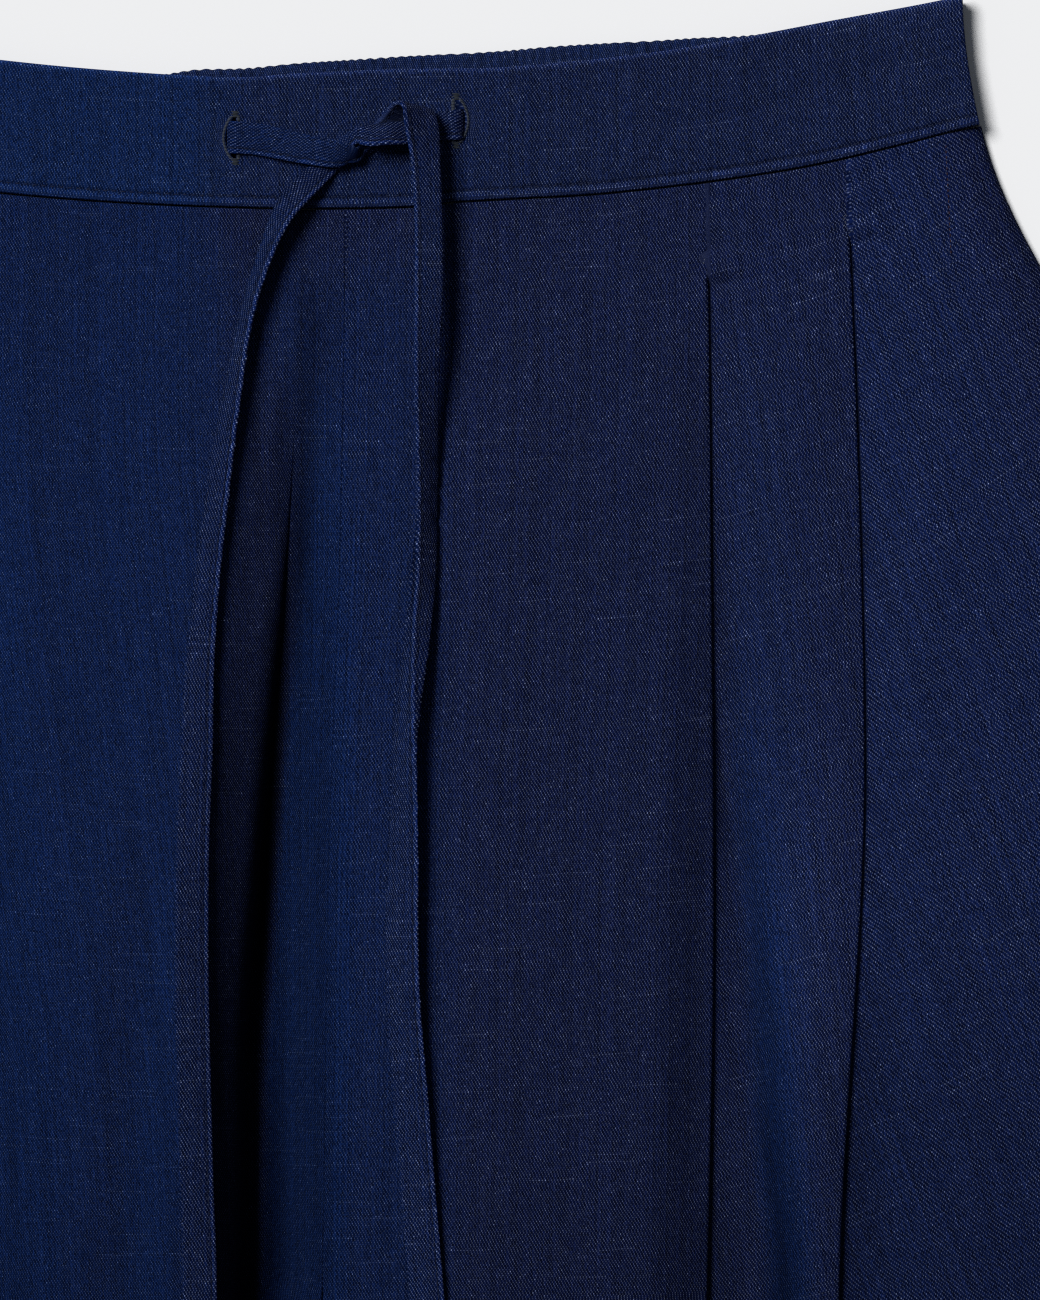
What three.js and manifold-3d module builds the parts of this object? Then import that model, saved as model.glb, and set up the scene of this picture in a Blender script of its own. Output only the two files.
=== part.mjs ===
// Baggy drawstring trousers laid flat on a table, front side up. Millimetres, +Z up.
// +X is the viewer's right, +Y runs from the hems to the waist, and the back panels lie on z = 0.
//
// Every cloth piece is a wall round a middle surface. A place on the garment is given by x and by v,
// the distance down from the waistline, which dips in the middle and rises towards both sides.
// "Left" and "right" are the viewer's.
import * as THREE from "three";
import Module from "manifold-3d";
import { mergeVertices } from "three/addons/utils/BufferGeometryUtils.js";

// ---- Driving sizes ---------------------------------------------------------------------------

const LENGTH = 1040; // waist to hem, down the middle
const WAIST_HALF = 182; // half of the width across the waistband
const BAND_HEIGHT = 40;
const CROTCH = 378; // waist down to the crotch point
const CROTCH_X = -28; // the crotch point lies left of the middle, in the valley between the legs

const CLOTH = 1.2; // wall of a panel
const BAND_WALL = 2.4; // front waistband: doubled cloth and its turnings
const GATHERED_WALL = 4.6; // back waistband: doubled cloth gathered over elastic
const GAP = 0.3; // clearance between sewn pieces
const PANEL_TOP = BAND_HEIGHT + GAP + 0.1; // the panels' upper edges, below the waistband's

const BUTTONHOLE = { width: 2.6, length: 13.4 };
const BUTTONHOLES = { left: { x: -33.8, s: 18.6 }, right: { x: 34.1, s: 14.6 } };

// The waistline rises to both sides as a shallow bowl, a little more on the right.
const WAIST_BOW = 5.9e-4; // rise per square millimetre of x
const WAIST_TILT = 0.0154; // rise per millimetre of x
const BOW_ENDS = 600; // v where the rows have become straight

// The levels v between which the foot of the valley's left wall is its steepest part, and how steep.
const STEEP_FOOT = { from: 95, full: 165, to: 300, power: 0.6 };
const VALLEY_ROUNDS = 350; // v where the valley's right wall starts to round into the leg

// ---- Tables: one row for each level v, smooth in between ----------------------------------------

// Side seam (distance from the middle) and the radius of the rolled fold along it.
const SIDE = [
  { v: 0, half: 182, roll: 12 },
  { v: 40, half: 187, roll: 14 },
  { v: 120, half: 222, roll: 32 },
  { v: 220, half: 262, roll: 48 },
  { v: 378, half: 296, roll: 62 },
  { v: 600, half: 306, roll: 60 },
  { v: 800, half: 302, roll: 55 },
  { v: 1040, half: 290, roll: 50 },
];

// How high the front lies above the table: the legs are full, the waist is flat.
const FULLNESS = [
  { v: 40, height: 5.9 },
  { v: 60, height: 7 },
  { v: 90, height: 9.6 },
  { v: 130, height: 13 },
  { v: 180, height: 17.5 },
  { v: 240, height: 22 },
  { v: 300, height: 25.5 },
  { v: 361, height: 28.5 },
  { v: 450, height: 29 },
  { v: 600, height: 25 },
  { v: 800, height: 19 },
  { v: 1040, height: 13 },
];

// Centre-front seam, from the waistband to the crotch point.
const CENTRE_SEAM = [
  { v: 40, x: 0 },
  { v: 138, x: -1.2 },
  { v: 228, x: -4.4 },
  { v: 330, x: -5.9 },
  { v: 361, x: -6.4 },
  { v: 371, x: -15 },
  { v: 378, x: -28 },
];

// The two halves' distance across along that seam: wider where the seam runs down the side of the
// valley, and where it turns to the crotch.
const SEAM_GAPS = [
  { v: 90, gap: GAP },
  { v: 155, gap: 0.4 },
  { v: 243, gap: 0.56 },
  { v: 346, gap: 0.66 },
  { v: 378, gap: 1.8 },
];

// Valley between the legs: the two edges of its floor, how deep it is, and the width of each wall.
const VALLEY = [
  { v: 70, left: -13.6, right: -13, depth: 0, leftWall: 6, rightWall: 14 },
  { v: 111, left: -15.6, right: -14.6, depth: 3, leftWall: 8, rightWall: 17 },
  { v: 155, left: -19.6, right: -18.2, depth: 7.8, leftWall: 16, rightWall: 19 },
  { v: 199, left: -23.4, right: -20.8, depth: 13, leftWall: 18, rightWall: 21 },
  { v: 243, left: -27, right: -22.8, depth: 18.4, leftWall: 16, rightWall: 23 },
  { v: 300, left: -30.4, right: -25.4, depth: 22.6, leftWall: 11.6, rightWall: 25 },
  { v: 361, left: -30.4, right: -26, depth: 25.9, leftWall: 9.4, rightWall: 25 },
  { v: 378, left: -29.6, right: -26, depth: 27.2, leftWall: 9, rightWall: 25 },
];

// Inner edges of the two legs below the crotch, and the radius of the rolled inseam fold.
const INSEAM = [
  { v: 378, left: -28.2, right: -27.8, roll: 12 },
  { v: 420, left: -35, right: -21, roll: 16 },
  { v: 520, left: -40, right: -8, roll: 24 },
  { v: 700, left: -38, right: 6, roll: 30 },
  { v: 1040, left: -28, right: 18, roll: 30 },
];

// Two knife pleats on each front: the fold edge's distance from the middle, how far the cloth goes
// back under it, and the angle it turns through. They have opened into plain cloth at the knee.
const PLEATS = [
  [
    { v: 40, x: 106.2, under: 14, turn: 180 },
    { v: 134, x: 107.4, under: 14, turn: 180 },
    { v: 250, x: 108.2, under: 13, turn: 180 },
    { v: 366, x: 106.2, under: 10, turn: 180 },
    { v: 540, x: 102, under: 1, turn: 180 },
    { v: 700, x: 100, under: 0.4, turn: 20 },
    { v: 1040, x: 100, under: 0.4, turn: 6 },
  ],
  [
    { v: 40, x: 147.6, under: 12, turn: 180 },
    { v: 123, x: 150.6, under: 12, turn: 180 },
    { v: 215, x: 152.5, under: 11, turn: 180 },
    { v: 366, x: 144.9, under: 8, turn: 180 },
    { v: 540, x: 143, under: 1, turn: 180 },
    { v: 700, x: 144, under: 0.4, turn: 20 },
    { v: 1040, x: 146, under: 0.4, turn: 6 },
  ],
];
const FOLD_RADIUS = 0.8; // of each turn, on the middle surface
const EMERGE = 0.5; // past a fold edge, where the cloth below comes out
const RECOVER = 12; // and how far beyond that it has come back up

// Long soft folds of the fronts: centre line, height (troughs are negative) and the width of each side.
const SOFT_FOLDS = [
  // both fronts: the cloth sinks towards each pleat and rises again beyond it
  { sides: [1, -1], rows: [
    { v: 66, x: 107, height: 0, near: 12, far: 8 },
    { v: 110, x: 108, height: -1.8, near: 14, far: 9 },
    { v: 240, x: 110, height: -3.2, near: 18, far: 12 },
    { v: 366, x: 108, height: -3.6, near: 20, far: 14 },
    { v: 620, x: 104, height: 0, near: 22, far: 18 },
  ] },
  { sides: [1, -1], rows: [
    { v: 66, x: 150, height: 0, near: 8, far: 8 },
    { v: 110, x: 151, height: -0.4, near: 8, far: 9 },
    { v: 240, x: 153, height: -0.5, near: 8, far: 14 },
    { v: 366, x: 147, height: -0.8, near: 9, far: 16 },
    { v: 620, x: 144, height: 0, near: 14, far: 18 },
  ] },
  // both fronts: a soft hollow between the pleats, wandering outwards
  { sides: [1, -1], rows: [
    { v: 170, x: 114, height: 0, near: 9, far: 11 },
    { v: 240, x: 119, height: -1.6, near: 12, far: 10 },
    { v: 330, x: 126, height: -3, near: 17, far: 10 },
    { v: 420, x: 126, height: -3, near: 18, far: 14 },
    { v: 640, x: 124, height: 0, near: 18, far: 18 },
  ] },
  // the broad crown of each front
  { sides: [1], rows: [
    { v: 80, x: 30, height: 0, near: 30, far: 56 },
    { v: 160, x: 32, height: 1.2, near: 33, far: 60 },
    { v: 260, x: 33, height: 2, near: 37, far: 60 },
    { v: 370, x: 33, height: 2, near: 38, far: 60 },
    { v: 640, x: 60, height: 0, near: 50, far: 60 },
  ] },
  { sides: [-1], rows: [
    { v: 44, x: 34, height: 1.4, near: 14, far: 60 },
    { v: 90, x: 34, height: 2.4, near: 12, far: 60 },
    { v: 160, x: 38, height: 3.4, near: 12, far: 62 },
    { v: 260, x: 44, height: 4.2, near: 12, far: 60 },
    { v: 370, x: 45, height: 4.2, near: 12, far: 60 },
    { v: 640, x: 70, height: 0, near: 24, far: 60 },
  ] },
  // left front: a faint hollow beyond the crown
  { sides: [-1], rows: [
    { v: 190, x: 54, height: 0, near: 12, far: 14 },
    { v: 260, x: 58, height: -1.6, near: 12, far: 16 },
    { v: 380, x: 64, height: -2.2, near: 14, far: 18 },
    { v: 600, x: 80, height: 0, near: 16, far: 20 },
  ] },
  // both legs: two long folds below the frame of the hips
  { sides: [1, -1], rows: [
    { v: 430, x: 190, height: 0, near: 22, far: 24 },
    { v: 560, x: 186, height: 3, near: 24, far: 28 },
    { v: 800, x: 190, height: 2.4, near: 26, far: 28 },
    { v: 1040, x: 196, height: 2, near: 26, far: 28 },
  ] },
  { sides: [1, -1], rows: [
    { v: 470, x: 70, height: 0, near: 20, far: 24 },
    { v: 640, x: 84, height: -3, near: 22, far: 26 },
    { v: 860, x: 96, height: -2.6, near: 22, far: 26 },
    { v: 1040, x: 100, height: -2, near: 22, far: 26 },
  ] },
];

// How far the gathered back waistband stands above the front one.
const BACK_PEEK = [
  { x: -182, rise: -1 },
  { x: -60, rise: -0.6 },
  { x: -41, rise: 2.2 },
  { x: 13, rise: 3.5 },
  { x: 58, rise: 4.8 },
  { x: 97, rise: 2.8 },
  { x: 128, rise: -0.2 },
  { x: 182, rise: -1 },
];
const SCALLOP = { pitch: 13, height: 0.5 }; // of the gathered top edge

// ---- Helpers -----------------------------------------------------------------------------------

const clamp01 = (t) => Math.min(1, Math.max(0, t));
const smoothstep = (t) => clamp01(t) ** 2 * (3 - 2 * clamp01(t));
const mix = (a, b, t) => a + (b - a) * t;

/** One named column of a table as a smooth function of its key (monotone cubic, held beyond the ends). */
function column(rows, name, key = "v") {
  const at = rows.map((row) => row[key]);
  const value = rows.map((row) => row[name]);
  const chord = at.slice(1).map((v, i) => (value[i + 1] - value[i]) / (v - at[i]));
  const slope = at.map((_, i) => {
    if (i === 0 || i === at.length - 1) return 0;
    const [a, b] = [chord[i - 1], chord[i]];
    return a * b > 0 ? (2 * a * b) / (a + b) : 0;
  });
  return (v) => {
    const held = Math.min(at[at.length - 1], Math.max(at[0], v));
    const next = at.findIndex((level) => level > held);
    const k = next < 0 ? at.length - 2 : Math.max(0, next - 1);
    const width = at[k + 1] - at[k];
    const t = (held - at[k]) / width;
    return value[k] * (1 + 2 * t) * (1 - t) ** 2 + value[k + 1] * t * t * (3 - 2 * t)
      + width * (slope[k] * t * (1 - t) ** 2 - slope[k + 1] * t * t * (1 - t));
  };
}

const columns = (rows, ...names) => Object.fromEntries(names.map((name) => [name, column(rows, name)]));

const side = columns(SIDE, "half", "roll");
const fullness = column(FULLNESS, "height");
const centreSeam = column(CENTRE_SEAM, "x");
const seamGap = column(SEAM_GAPS, "gap");
const valley = columns(VALLEY, "left", "right", "depth", "leftWall", "rightWall");
const inseam = columns(INSEAM, "left", "right", "roll");
const pleats = PLEATS.map((rows) => columns(rows, "x", "under", "turn"));
const softFolds = SOFT_FOLDS.map((fold) => ({
  sides: fold.sides,
  ...columns(fold.rows, "x", "height", "near", "far"),
}));
const backPeek = column(BACK_PEEK, "rise", "x");

/** Rise of the row v above its middle, at x: full at the waist, gone where the rows are straight. */
const bow = (x, v) =>
  (WAIST_BOW * x * x + WAIST_TILT * x) * (1 - smoothstep((v - BAND_HEIGHT) / (BOW_ENDS - BAND_HEIGHT)));

const TOP = bow(WAIST_HALF, 0); // the highest point of the waistline
const MIDDLE = (LENGTH - TOP) / 2; // the origin is halfway between it and the hem

/** Garment place (x, v, height) to model space. */
const place = (x, v, z) => new THREE.Vector3(x, MIDDLE - v + bow(x, v), z);

/** The level v of a point that lies s below the middle of the waistline, at x. */
function levelAt(x, s) {
  let v = s;
  for (let step = 0; step < 6; step += 1) v = s + bow(x, v);
  return v;
}

/** Quarter-round profile of a rolled fold: 0 at the fold, 1 where the cloth has become level. */
const rolled = (q) => Math.sqrt(1 - (1 - clamp01(q)) ** 2);

const PANEL_FOOT = CLOTH + GAP + 0.4; // middle surface of a front where it meets the back
const VALLEY_FOOT = CLOTH * 1.5 + GAP + 0.1; // and at its lowest between the legs

/** Height of the middle surface of the front cloth at x and v, without what the pleats add. */
function frontHeight(x, v) {
  const hand = v < CROTCH ? Math.sign(x - centreSeam(v)) : Math.sign(x - CROTCH_X);
  const out = Math.abs(x);
  let z = fullness(v);
  for (const fold of softFolds) {
    if (!fold.sides.includes(hand)) continue;
    const off = out - fold.x(v);
    const reach = Math.abs(off) / (off < 0 ? fold.near(v) : fold.far(v));
    z += fold.height(v) * (1 - smoothstep(reach));
  }
  z = mix(PANEL_FOOT, z, rolled((side.half(v) - out) / side.roll(v)));
  if (v < CROTCH) {
    const power = mix(STEEP_FOOT.power, 1, smoothstep((v - STEEP_FOOT.to) / (CROTCH - STEEP_FOOT.to)));
    const steepness = smoothstep((v - STEEP_FOOT.from) / (STEEP_FOOT.full - STEEP_FOOT.from));
    const p = (valley.left(v) - x) / valley.leftWall(v);
    const steep = mix(smoothstep(p), rolled(p) ** power, steepness);
    const q = (x - valley.right(v)) / valley.rightWall(v);
    const gentle = mix(smoothstep(q), rolled(q), smoothstep((v - VALLEY_ROUNDS) / (CROTCH - VALLEY_ROUNDS)));
    const floor = Math.max(fullness(v) - valley.depth(v), VALLEY_FOOT);
    return mix(Math.min(z, floor), z, x < valley.left(v) ? steep : gentle);
  }
  const q = hand > 0 ? x - inseam.right(v) : inseam.left(v) - x;
  return mix(PANEL_FOOT, z, rolled(q / inseam.roll(v)));
}

/** Closed wall of the given thickness round a grid of middle points, rows down, points left to right. */
function clothWall(grid, thickness) {
  const down = grid.length;
  const across = grid[0].length;
  const unit = (a, b) => new THREE.Vector3().subVectors(b, a).normalize();
  const along = (i, j, di, dj) => {
    const [i0, i1] = [Math.max(0, i - di), Math.min(down - 1, i + di)];
    const [j0, j1] = [Math.max(0, j - dj), Math.min(across - 1, j + dj)];
    const here = grid[i][j];
    const sum = new THREE.Vector3();
    if (i0 !== i || j0 !== j) sum.add(unit(grid[i0][j0], here));
    if (i1 !== i || j1 !== j) sum.add(unit(here, grid[i1][j1]));
    return sum;
  };
  const skin = (offset) => grid.flatMap((row, i) => row.map((point, j) => {
    const normal = along(i, j, 1, 0).cross(along(i, j, 0, 1)).normalize();
    return point.clone().addScaledVector(normal, offset);
  }));
  const points = [...skin(thickness / 2), ...skin(-thickness / 2)];
  const under = down * across;
  const index = [];
  const quad = (a, b, c, d) => index.push(a, b, c, a, c, d);
  const at = (i, j) => i * across + j;
  for (let i = 0; i < down - 1; i += 1) {
    for (let j = 0; j < across - 1; j += 1) {
      quad(at(i, j), at(i + 1, j), at(i + 1, j + 1), at(i, j + 1));
      quad(under + at(i, j), under + at(i, j + 1), under + at(i + 1, j + 1), under + at(i + 1, j));
    }
  }
  const rim = [];
  for (let i = 0; i < down - 1; i += 1) rim.push(at(i, 0));
  for (let j = 0; j < across - 1; j += 1) rim.push(at(down - 1, j));
  for (let i = down - 1; i > 0; i -= 1) rim.push(at(i, across - 1));
  for (let j = across - 1; j > 0; j -= 1) rim.push(at(0, j));
  rim.forEach((a, k) => {
    const b = rim[(k + 1) % rim.length];
    quad(a, under + a, under + b, b);
  });
  const geometry = new THREE.BufferGeometry();
  geometry.setAttribute("position", new THREE.Float32BufferAttribute(points.flatMap((p) => p.toArray()), 3));
  geometry.setIndex(index);
  return geometry;
}

const garment = new THREE.Group();

/** Adds one named piece with its own finish. */
function addPiece(name, geometry, color, roughness) {
  geometry.computeVertexNormals();
  const mesh = new THREE.Mesh(geometry, new THREE.MeshStandardMaterial({ color, roughness, metalness: 0 }));
  mesh.name = name;
  garment.add(mesh);
}

/** n + 1 values from a to b, closer together towards b when ease is above 1. */
const spread = (a, b, n, ease = 1) =>
  Array.from({ length: n + 1 }, (_, k) => mix(a, b, 1 - (1 - k / n) ** ease));

// ---- Front panels ------------------------------------------------------------------------------

const INDIGO = "#18203d";
const INDIGO_BAND = "#19223f";
const INDIGO_TAPE = "#1a2743";

const FRONT_LEVELS = [
  PANEL_TOP, 60, 84, 110, 140, 172, 206, 244, 290, 336, 361, 371, 377.6, 390, 420, 470, 540, 620,
  700, 840, LENGTH,
];

/**
 * One pleat crossing at level v, as steps [outward, drop] from the point where the fold's first turn
 * starts: a turn back under, a straight run, and a turn forward again.
 */
function pleatSteps(pleat, v) {
  const turn = THREE.MathUtils.degToRad(pleat.turn(v));
  const under = pleat.under(v);
  const arc = [0, 1 / 3, 2 / 3, 1].map((part) => part * turn);
  const first = arc.map((a) => [FOLD_RADIUS * Math.sin(a), FOLD_RADIUS * (1 - Math.cos(a))]);
  const [x0, z0] = first[3];
  const [x1, z1] = [x0 + under * Math.cos(turn), z0 + under * Math.sin(turn)];
  const second = [...arc].reverse().map((a) => [
    x1 + FOLD_RADIUS * (Math.sin(turn) - Math.sin(a)),
    z1 + FOLD_RADIUS * (Math.cos(a) - Math.cos(turn)),
  ]);
  return [...first, ...second];
}

/** Where one half's edge runs along the centre seam. */
const seamEdge = (v, hand) => centreSeam(v) + (hand * seamGap(v)) / 2;

const RIGHT_STEPS = [0, 2, 5, 9, 14, 22, 34]; // from the centre edge out over the right front's crown
const LEFT_STEPS = [1, 2.6, 4.8, 8, 13, 24]; // from the valley's floor up the left front's wall
const LEG_EDGE = { narrow: 1.5, wide: 6, over: 90 }; // the left leg's flat edge widens below the crotch
const BEFORE_FOLD = [12, 8, 4]; // points on the open cloth before a fold's first turn
const LEAST_RUN = 3; // of open cloth between two folds

/** Middle line of one front panel at level v, from the centre edge out to the side seam. */
function frontSection(v, hand) {
  const seam = seamEdge(v, hand);
  const legEdge = hand > 0 ? inseam.right(v) : inseam.left(v);
  const centreEdge = v < CROTCH ? seam : legEdge;
  const line = [];
  const add = (out, drop) => line.push(place(hand * out, v, frontHeight(hand * out, v) - drop));

  const firstTurn = pleats[0].x(v) - FOLD_RADIUS;
  const inner = hand * centreEdge;
  const [farthest, ...nearer] = BEFORE_FOLD;
  const edge = mix(LEG_EDGE.narrow, LEG_EDGE.wide, smoothstep((v - CROTCH) / LEG_EDGE.over));
  const floorEnd = v < CROTCH ? -valley.left(v) : inner + edge;
  if (hand < 0) spread(inner, floorEnd, 5).forEach((out) => add(out, 0));
  const [from, steps] = hand > 0 ? [inner, RIGHT_STEPS] : [floorEnd, LEFT_STEPS];
  steps.forEach((step) => add(from + step, 0));
  spread(from + steps[steps.length - 1], firstTurn - farthest, 2).slice(1).forEach((out) => add(out, 0));
  nearer.forEach((step) => add(firstTurn - step, 0));

  pleats.forEach((pleat, k) => {
    const start = pleat.x(v) - FOLD_RADIUS;
    const steps = pleatSteps(pleat, v);
    steps.forEach(([out, drop]) => add(start + out, drop));
    const [, lowest] = steps[steps.length - 1];
    const emerge = pleat.x(v) + EMERGE;
    const nextTurn = k + 1 < pleats.length ? pleats[k + 1].x(v) - FOLD_RADIUS : 0;
    const next = nextTurn ? nextTurn - nearer[nearer.length - 1] : side.half(v) - side.roll(v);
    [0, 0.4, 1].forEach((part) => add(emerge + part * RECOVER, lowest * (1 - smoothstep(part))));
    const beyond = Math.max(next, emerge + RECOVER + LEAST_RUN);
    spread(emerge + RECOVER, beyond, 2).slice(1).forEach((out) => add(out, 0));
    if (k + 1 === pleats.length) {
      spread(beyond, side.half(v), 5, 2).slice(1).forEach((out) => add(out, 0));
    }
  });
  return hand > 0 ? line : line.reverse();
}

for (const [name, hand] of [["front_left", -1], ["front_right", 1]]) {
  const grid = FRONT_LEVELS.map((v) => frontSection(v, hand));
  addPiece(name, clothWall(grid, CLOTH), INDIGO, 0.85);
}

// ---- Back panels: flat on the table, cut to the same outline -----------------------------------

const BACK_LEVELS = [PANEL_TOP, 90, 150, 220, 300, 345, 361, 371, 377.6, 390, 430, 520, 640, 800, LENGTH];
const FOLD_OUT = CLOTH / 2; // the back reaches out under the outer face of the rolled fold

for (const [name, hand] of [["back_left", -1], ["back_right", 1]]) {
  const grid = BACK_LEVELS.map((v) => {
    const seam = seamEdge(v, hand);
    const legEdge = (hand > 0 ? inseam.right(v) : inseam.left(v)) - hand * FOLD_OUT;
    const inner = v < CROTCH ? seam : legEdge;
    const line = spread(inner, hand * (side.half(v) + FOLD_OUT), 8).map((x) => place(x, v, CLOTH / 2));
    return hand > 0 ? line : line.reverse();
  });
  addPiece(name, clothWall(grid, CLOTH), INDIGO, 0.85);
}

// ---- Waistbands --------------------------------------------------------------------------------

const BAND_FLOOR = GATHERED_WALL + GAP; // the front band lies on the back one
const BAND_TOP = BAND_FLOOR + BAND_WALL;

const wasm = await Module();
wasm.setup();

/** A geometry as a manifold solid. */
function toSolid(geometry) {
  const bare = geometry.clone();
  bare.deleteAttribute("normal");
  bare.deleteAttribute("uv");
  const merged = mergeVertices(bare);
  return new wasm.Manifold(new wasm.Mesh({
    numProp: 3,
    vertProperties: new Float32Array(merged.attributes.position.array),
    triVerts: new Uint32Array(merged.index.array),
  }));
}

/** A manifold solid as a geometry. */
function toGeometry(solid) {
  const mesh = solid.getMesh();
  const geometry = new THREE.BufferGeometry();
  geometry.setAttribute("position", new THREE.Float32BufferAttribute(mesh.vertProperties, 3));
  geometry.setIndex(new THREE.Uint32BufferAttribute(mesh.triVerts, 1));
  return geometry;
}

const FLARE_FROM = 100; // past this distance from the middle the band widens down to the panels' outline

/** x on a waistband that is cut straight, moved out to the flared outline at level v. */
function flared(x, v) {
  const share = smoothstep((Math.abs(x) - FLARE_FROM) / (WAIST_HALF - FLARE_FROM));
  return x + Math.sign(x) * (side.half(v) - WAIST_HALF) * share;
}

const bandXs = spread(-WAIST_HALF, WAIST_HALF, 24);
const bandRow = (v) => bandXs.map((x) => place(flared(x, v), v, BAND_FLOOR + BAND_WALL / 2));
const frontBand = clothWall([0, BAND_HEIGHT / 2, BAND_HEIGHT].map(bandRow), BAND_WALL);
let slottedBand = toSolid(frontBand);
for (const hole of Object.values(BUTTONHOLES)) {
  const slot = new THREE.BoxGeometry(BUTTONHOLE.width, BUTTONHOLE.length, BAND_WALL * 2);
  slot.translate(hole.x, MIDDLE - hole.s, BAND_FLOOR + BAND_WALL / 2);
  slottedBand = slottedBand.subtract(toSolid(slot));
}
addPiece("waistband_front", toGeometry(slottedBand), INDIGO_BAND, 0.85);

const gatherXs = spread(-WAIST_HALF, WAIST_HALF, 56);
const scallop = (x) => SCALLOP.height * Math.cos((2 * Math.PI * x) / SCALLOP.pitch);
const backBand = clothWall(
  [0, 0.5, 1].map((part) => gatherXs.map((x) => {
    const top = -backPeek(x) - scallop(x) * smoothstep(backPeek(x));
    const v = mix(top, BAND_HEIGHT, part);
    return place(flared(x, v), v, GATHERED_WALL / 2);
  })),
  GATHERED_WALL,
);
addPiece("waistband_back", backBand, INDIGO_BAND, 0.85);

// ---- Drawstring --------------------------------------------------------------------------------

// Each end leaves its buttonhole and the two are half knotted. A row is a point on the tape's middle:
// x, s below the middle of the waistline, its height above the cloth there, the direction of the
// tape's width in plan (degrees from +X), how far that direction is tipped up (degrees), and the
// tape's own width and wall, which is squeezed inside the knot.
const LEFT_END = [
  { x: -34, s: 18.9, above: -1.4, heading: -90, tip: 0, width: 9.6, wall: 1.4 },
  { x: -34, s: 18.9, above: 0.4, heading: -90, tip: 0, width: 9.6, wall: 1.4 },
  { x: -32.6, s: 19, above: 1.6, heading: -90, tip: 0, width: 9.6, wall: 1.4 },
  { x: -30, s: 19.1, above: 1.5, heading: -90, tip: 0, width: 9.6, wall: 1.4 },
  { x: -24.4, s: 19.8, above: 1.4, heading: -88, tip: 0, width: 9.4, wall: 1.4 },
  { x: -16.2, s: 21.6, above: 2.4, heading: -85, tip: 0, width: 9, wall: 1.4 },
  { x: -8.8, s: 23.1, above: 4, heading: -84, tip: -4, width: 8.6, wall: 1.4 },
  { x: -3.4, s: 23.9, above: 5.4, heading: -82, tip: -14, width: 8.6, wall: 1.4 },
  { x: 0.8, s: 24.2, above: 5.8, heading: -76, tip: -44, width: 8.2, wall: 1.4 },
  { x: 3.2, s: 24.5, above: 4.8, heading: -64, tip: -60, width: 5.8, wall: 1.4 },
  { x: 5.2, s: 22.8, above: 2.6, heading: -58, tip: -46, width: 5, wall: 1.4 },
  { x: 8.2, s: 19.8, above: 1.2, heading: -54, tip: 0, width: 5.8, wall: 1.4 },
  { x: 11.1, s: 17.3, above: 1.6, heading: -44, tip: -8, width: 7.4, wall: 1.4 },
  { x: 14, s: 15, above: 2.7, heading: -32, tip: -24, width: 8.6, wall: 1.4 },
  { x: 16, s: 12.6, above: 4.2, heading: -20, tip: -36, width: 10, wall: 1.4 },
  { x: 17.6, s: 10.7, above: 5.2, heading: -15, tip: -38, width: 10.6, wall: 1.4 },
  { x: 19.5, s: 10, above: 7, heading: -14, tip: -36, width: 11, wall: 1.4 },
  { x: 21.4, s: 11.3, above: 8.8, heading: -11, tip: -33, width: 11.6, wall: 1.4 },
  { x: 22.2, s: 14.1, above: 9.6, heading: -8, tip: -26, width: 11, wall: 1.4 },
  { x: 23.2, s: 20, above: 9.2, heading: -3, tip: -13, width: 9.8, wall: 1.4 },
  { x: 23.9, s: 28, above: 9, heading: 0, tip: -6, width: 8.7, wall: 1.4 },
  { x: 24.4, s: 37, above: 9.4, heading: 0, tip: -2, width: 8.3, wall: 1.4 },
  { x: 24.7, s: 50, above: 10.2, heading: 0, tip: -2, width: 8.4, wall: 1.4 },
  { x: 24.7, s: 64, above: 10.8, heading: 0, tip: -4, width: 8.4, wall: 1.4 },
  { x: 24.4, s: 78, above: 10.8, heading: 0, tip: -10, width: 8, wall: 1.4 },
  { x: 24.1, s: 92, above: 8.2, heading: 0, tip: -20, width: 7.8, wall: 1.5 },
  { x: 24.1, s: 110, above: 5.2, heading: 0, tip: -33, width: 8, wall: 1.7 },
  { x: 24, s: 130, above: 3.6, heading: 0, tip: -38, width: 8, wall: 2 },
  { x: 23.2, s: 148, above: 3.8, heading: 0, tip: -22, width: 8, wall: 2.3 },
  { x: 21.9, s: 161, above: 4.2, heading: 0, tip: -2, width: 7.7, wall: 2.4 },
  { x: 20.5, s: 174, above: 4.8, heading: 0, tip: 18, width: 7.8, wall: 2.3 },
  { x: 19, s: 185, above: 5.4, heading: 0, tip: 32, width: 8.5, wall: 2 },
  { x: 17.9, s: 198, above: 5.4, heading: 0, tip: 38, width: 9.2, wall: 1.7 },
  { x: 17.6, s: 213, above: 5.2, heading: 0, tip: 37, width: 9.8, wall: 1.5 },
  { x: 17.3, s: 235, above: 4.8, heading: 0, tip: 32, width: 10.4, wall: 1.4 },
  { x: 16.9, s: 255, above: 4.4, heading: 0, tip: 28, width: 11, wall: 1.4 },
  { x: 17.4, s: 274, above: 3.9, heading: 0, tip: 24, width: 10.8, wall: 1.4 },
  { x: 19.7, s: 303, above: 2.9, heading: 0, tip: 14, width: 10.4, wall: 1.4 },
  { x: 22.1, s: 333, above: 2, heading: 0, tip: 8, width: 10.2, wall: 1.4 },
  { x: 24.4, s: 361, above: 1.9, heading: 0, tip: 6, width: 10.3, wall: 1.4 },
  { x: 26.3, s: 380, above: 1.4, heading: 0, tip: 0, width: 10.2, wall: 1.4 },
  { x: 27.6, s: 398, above: 1.4, heading: 0, tip: 0, width: 10, wall: 1.4 },
];
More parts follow.
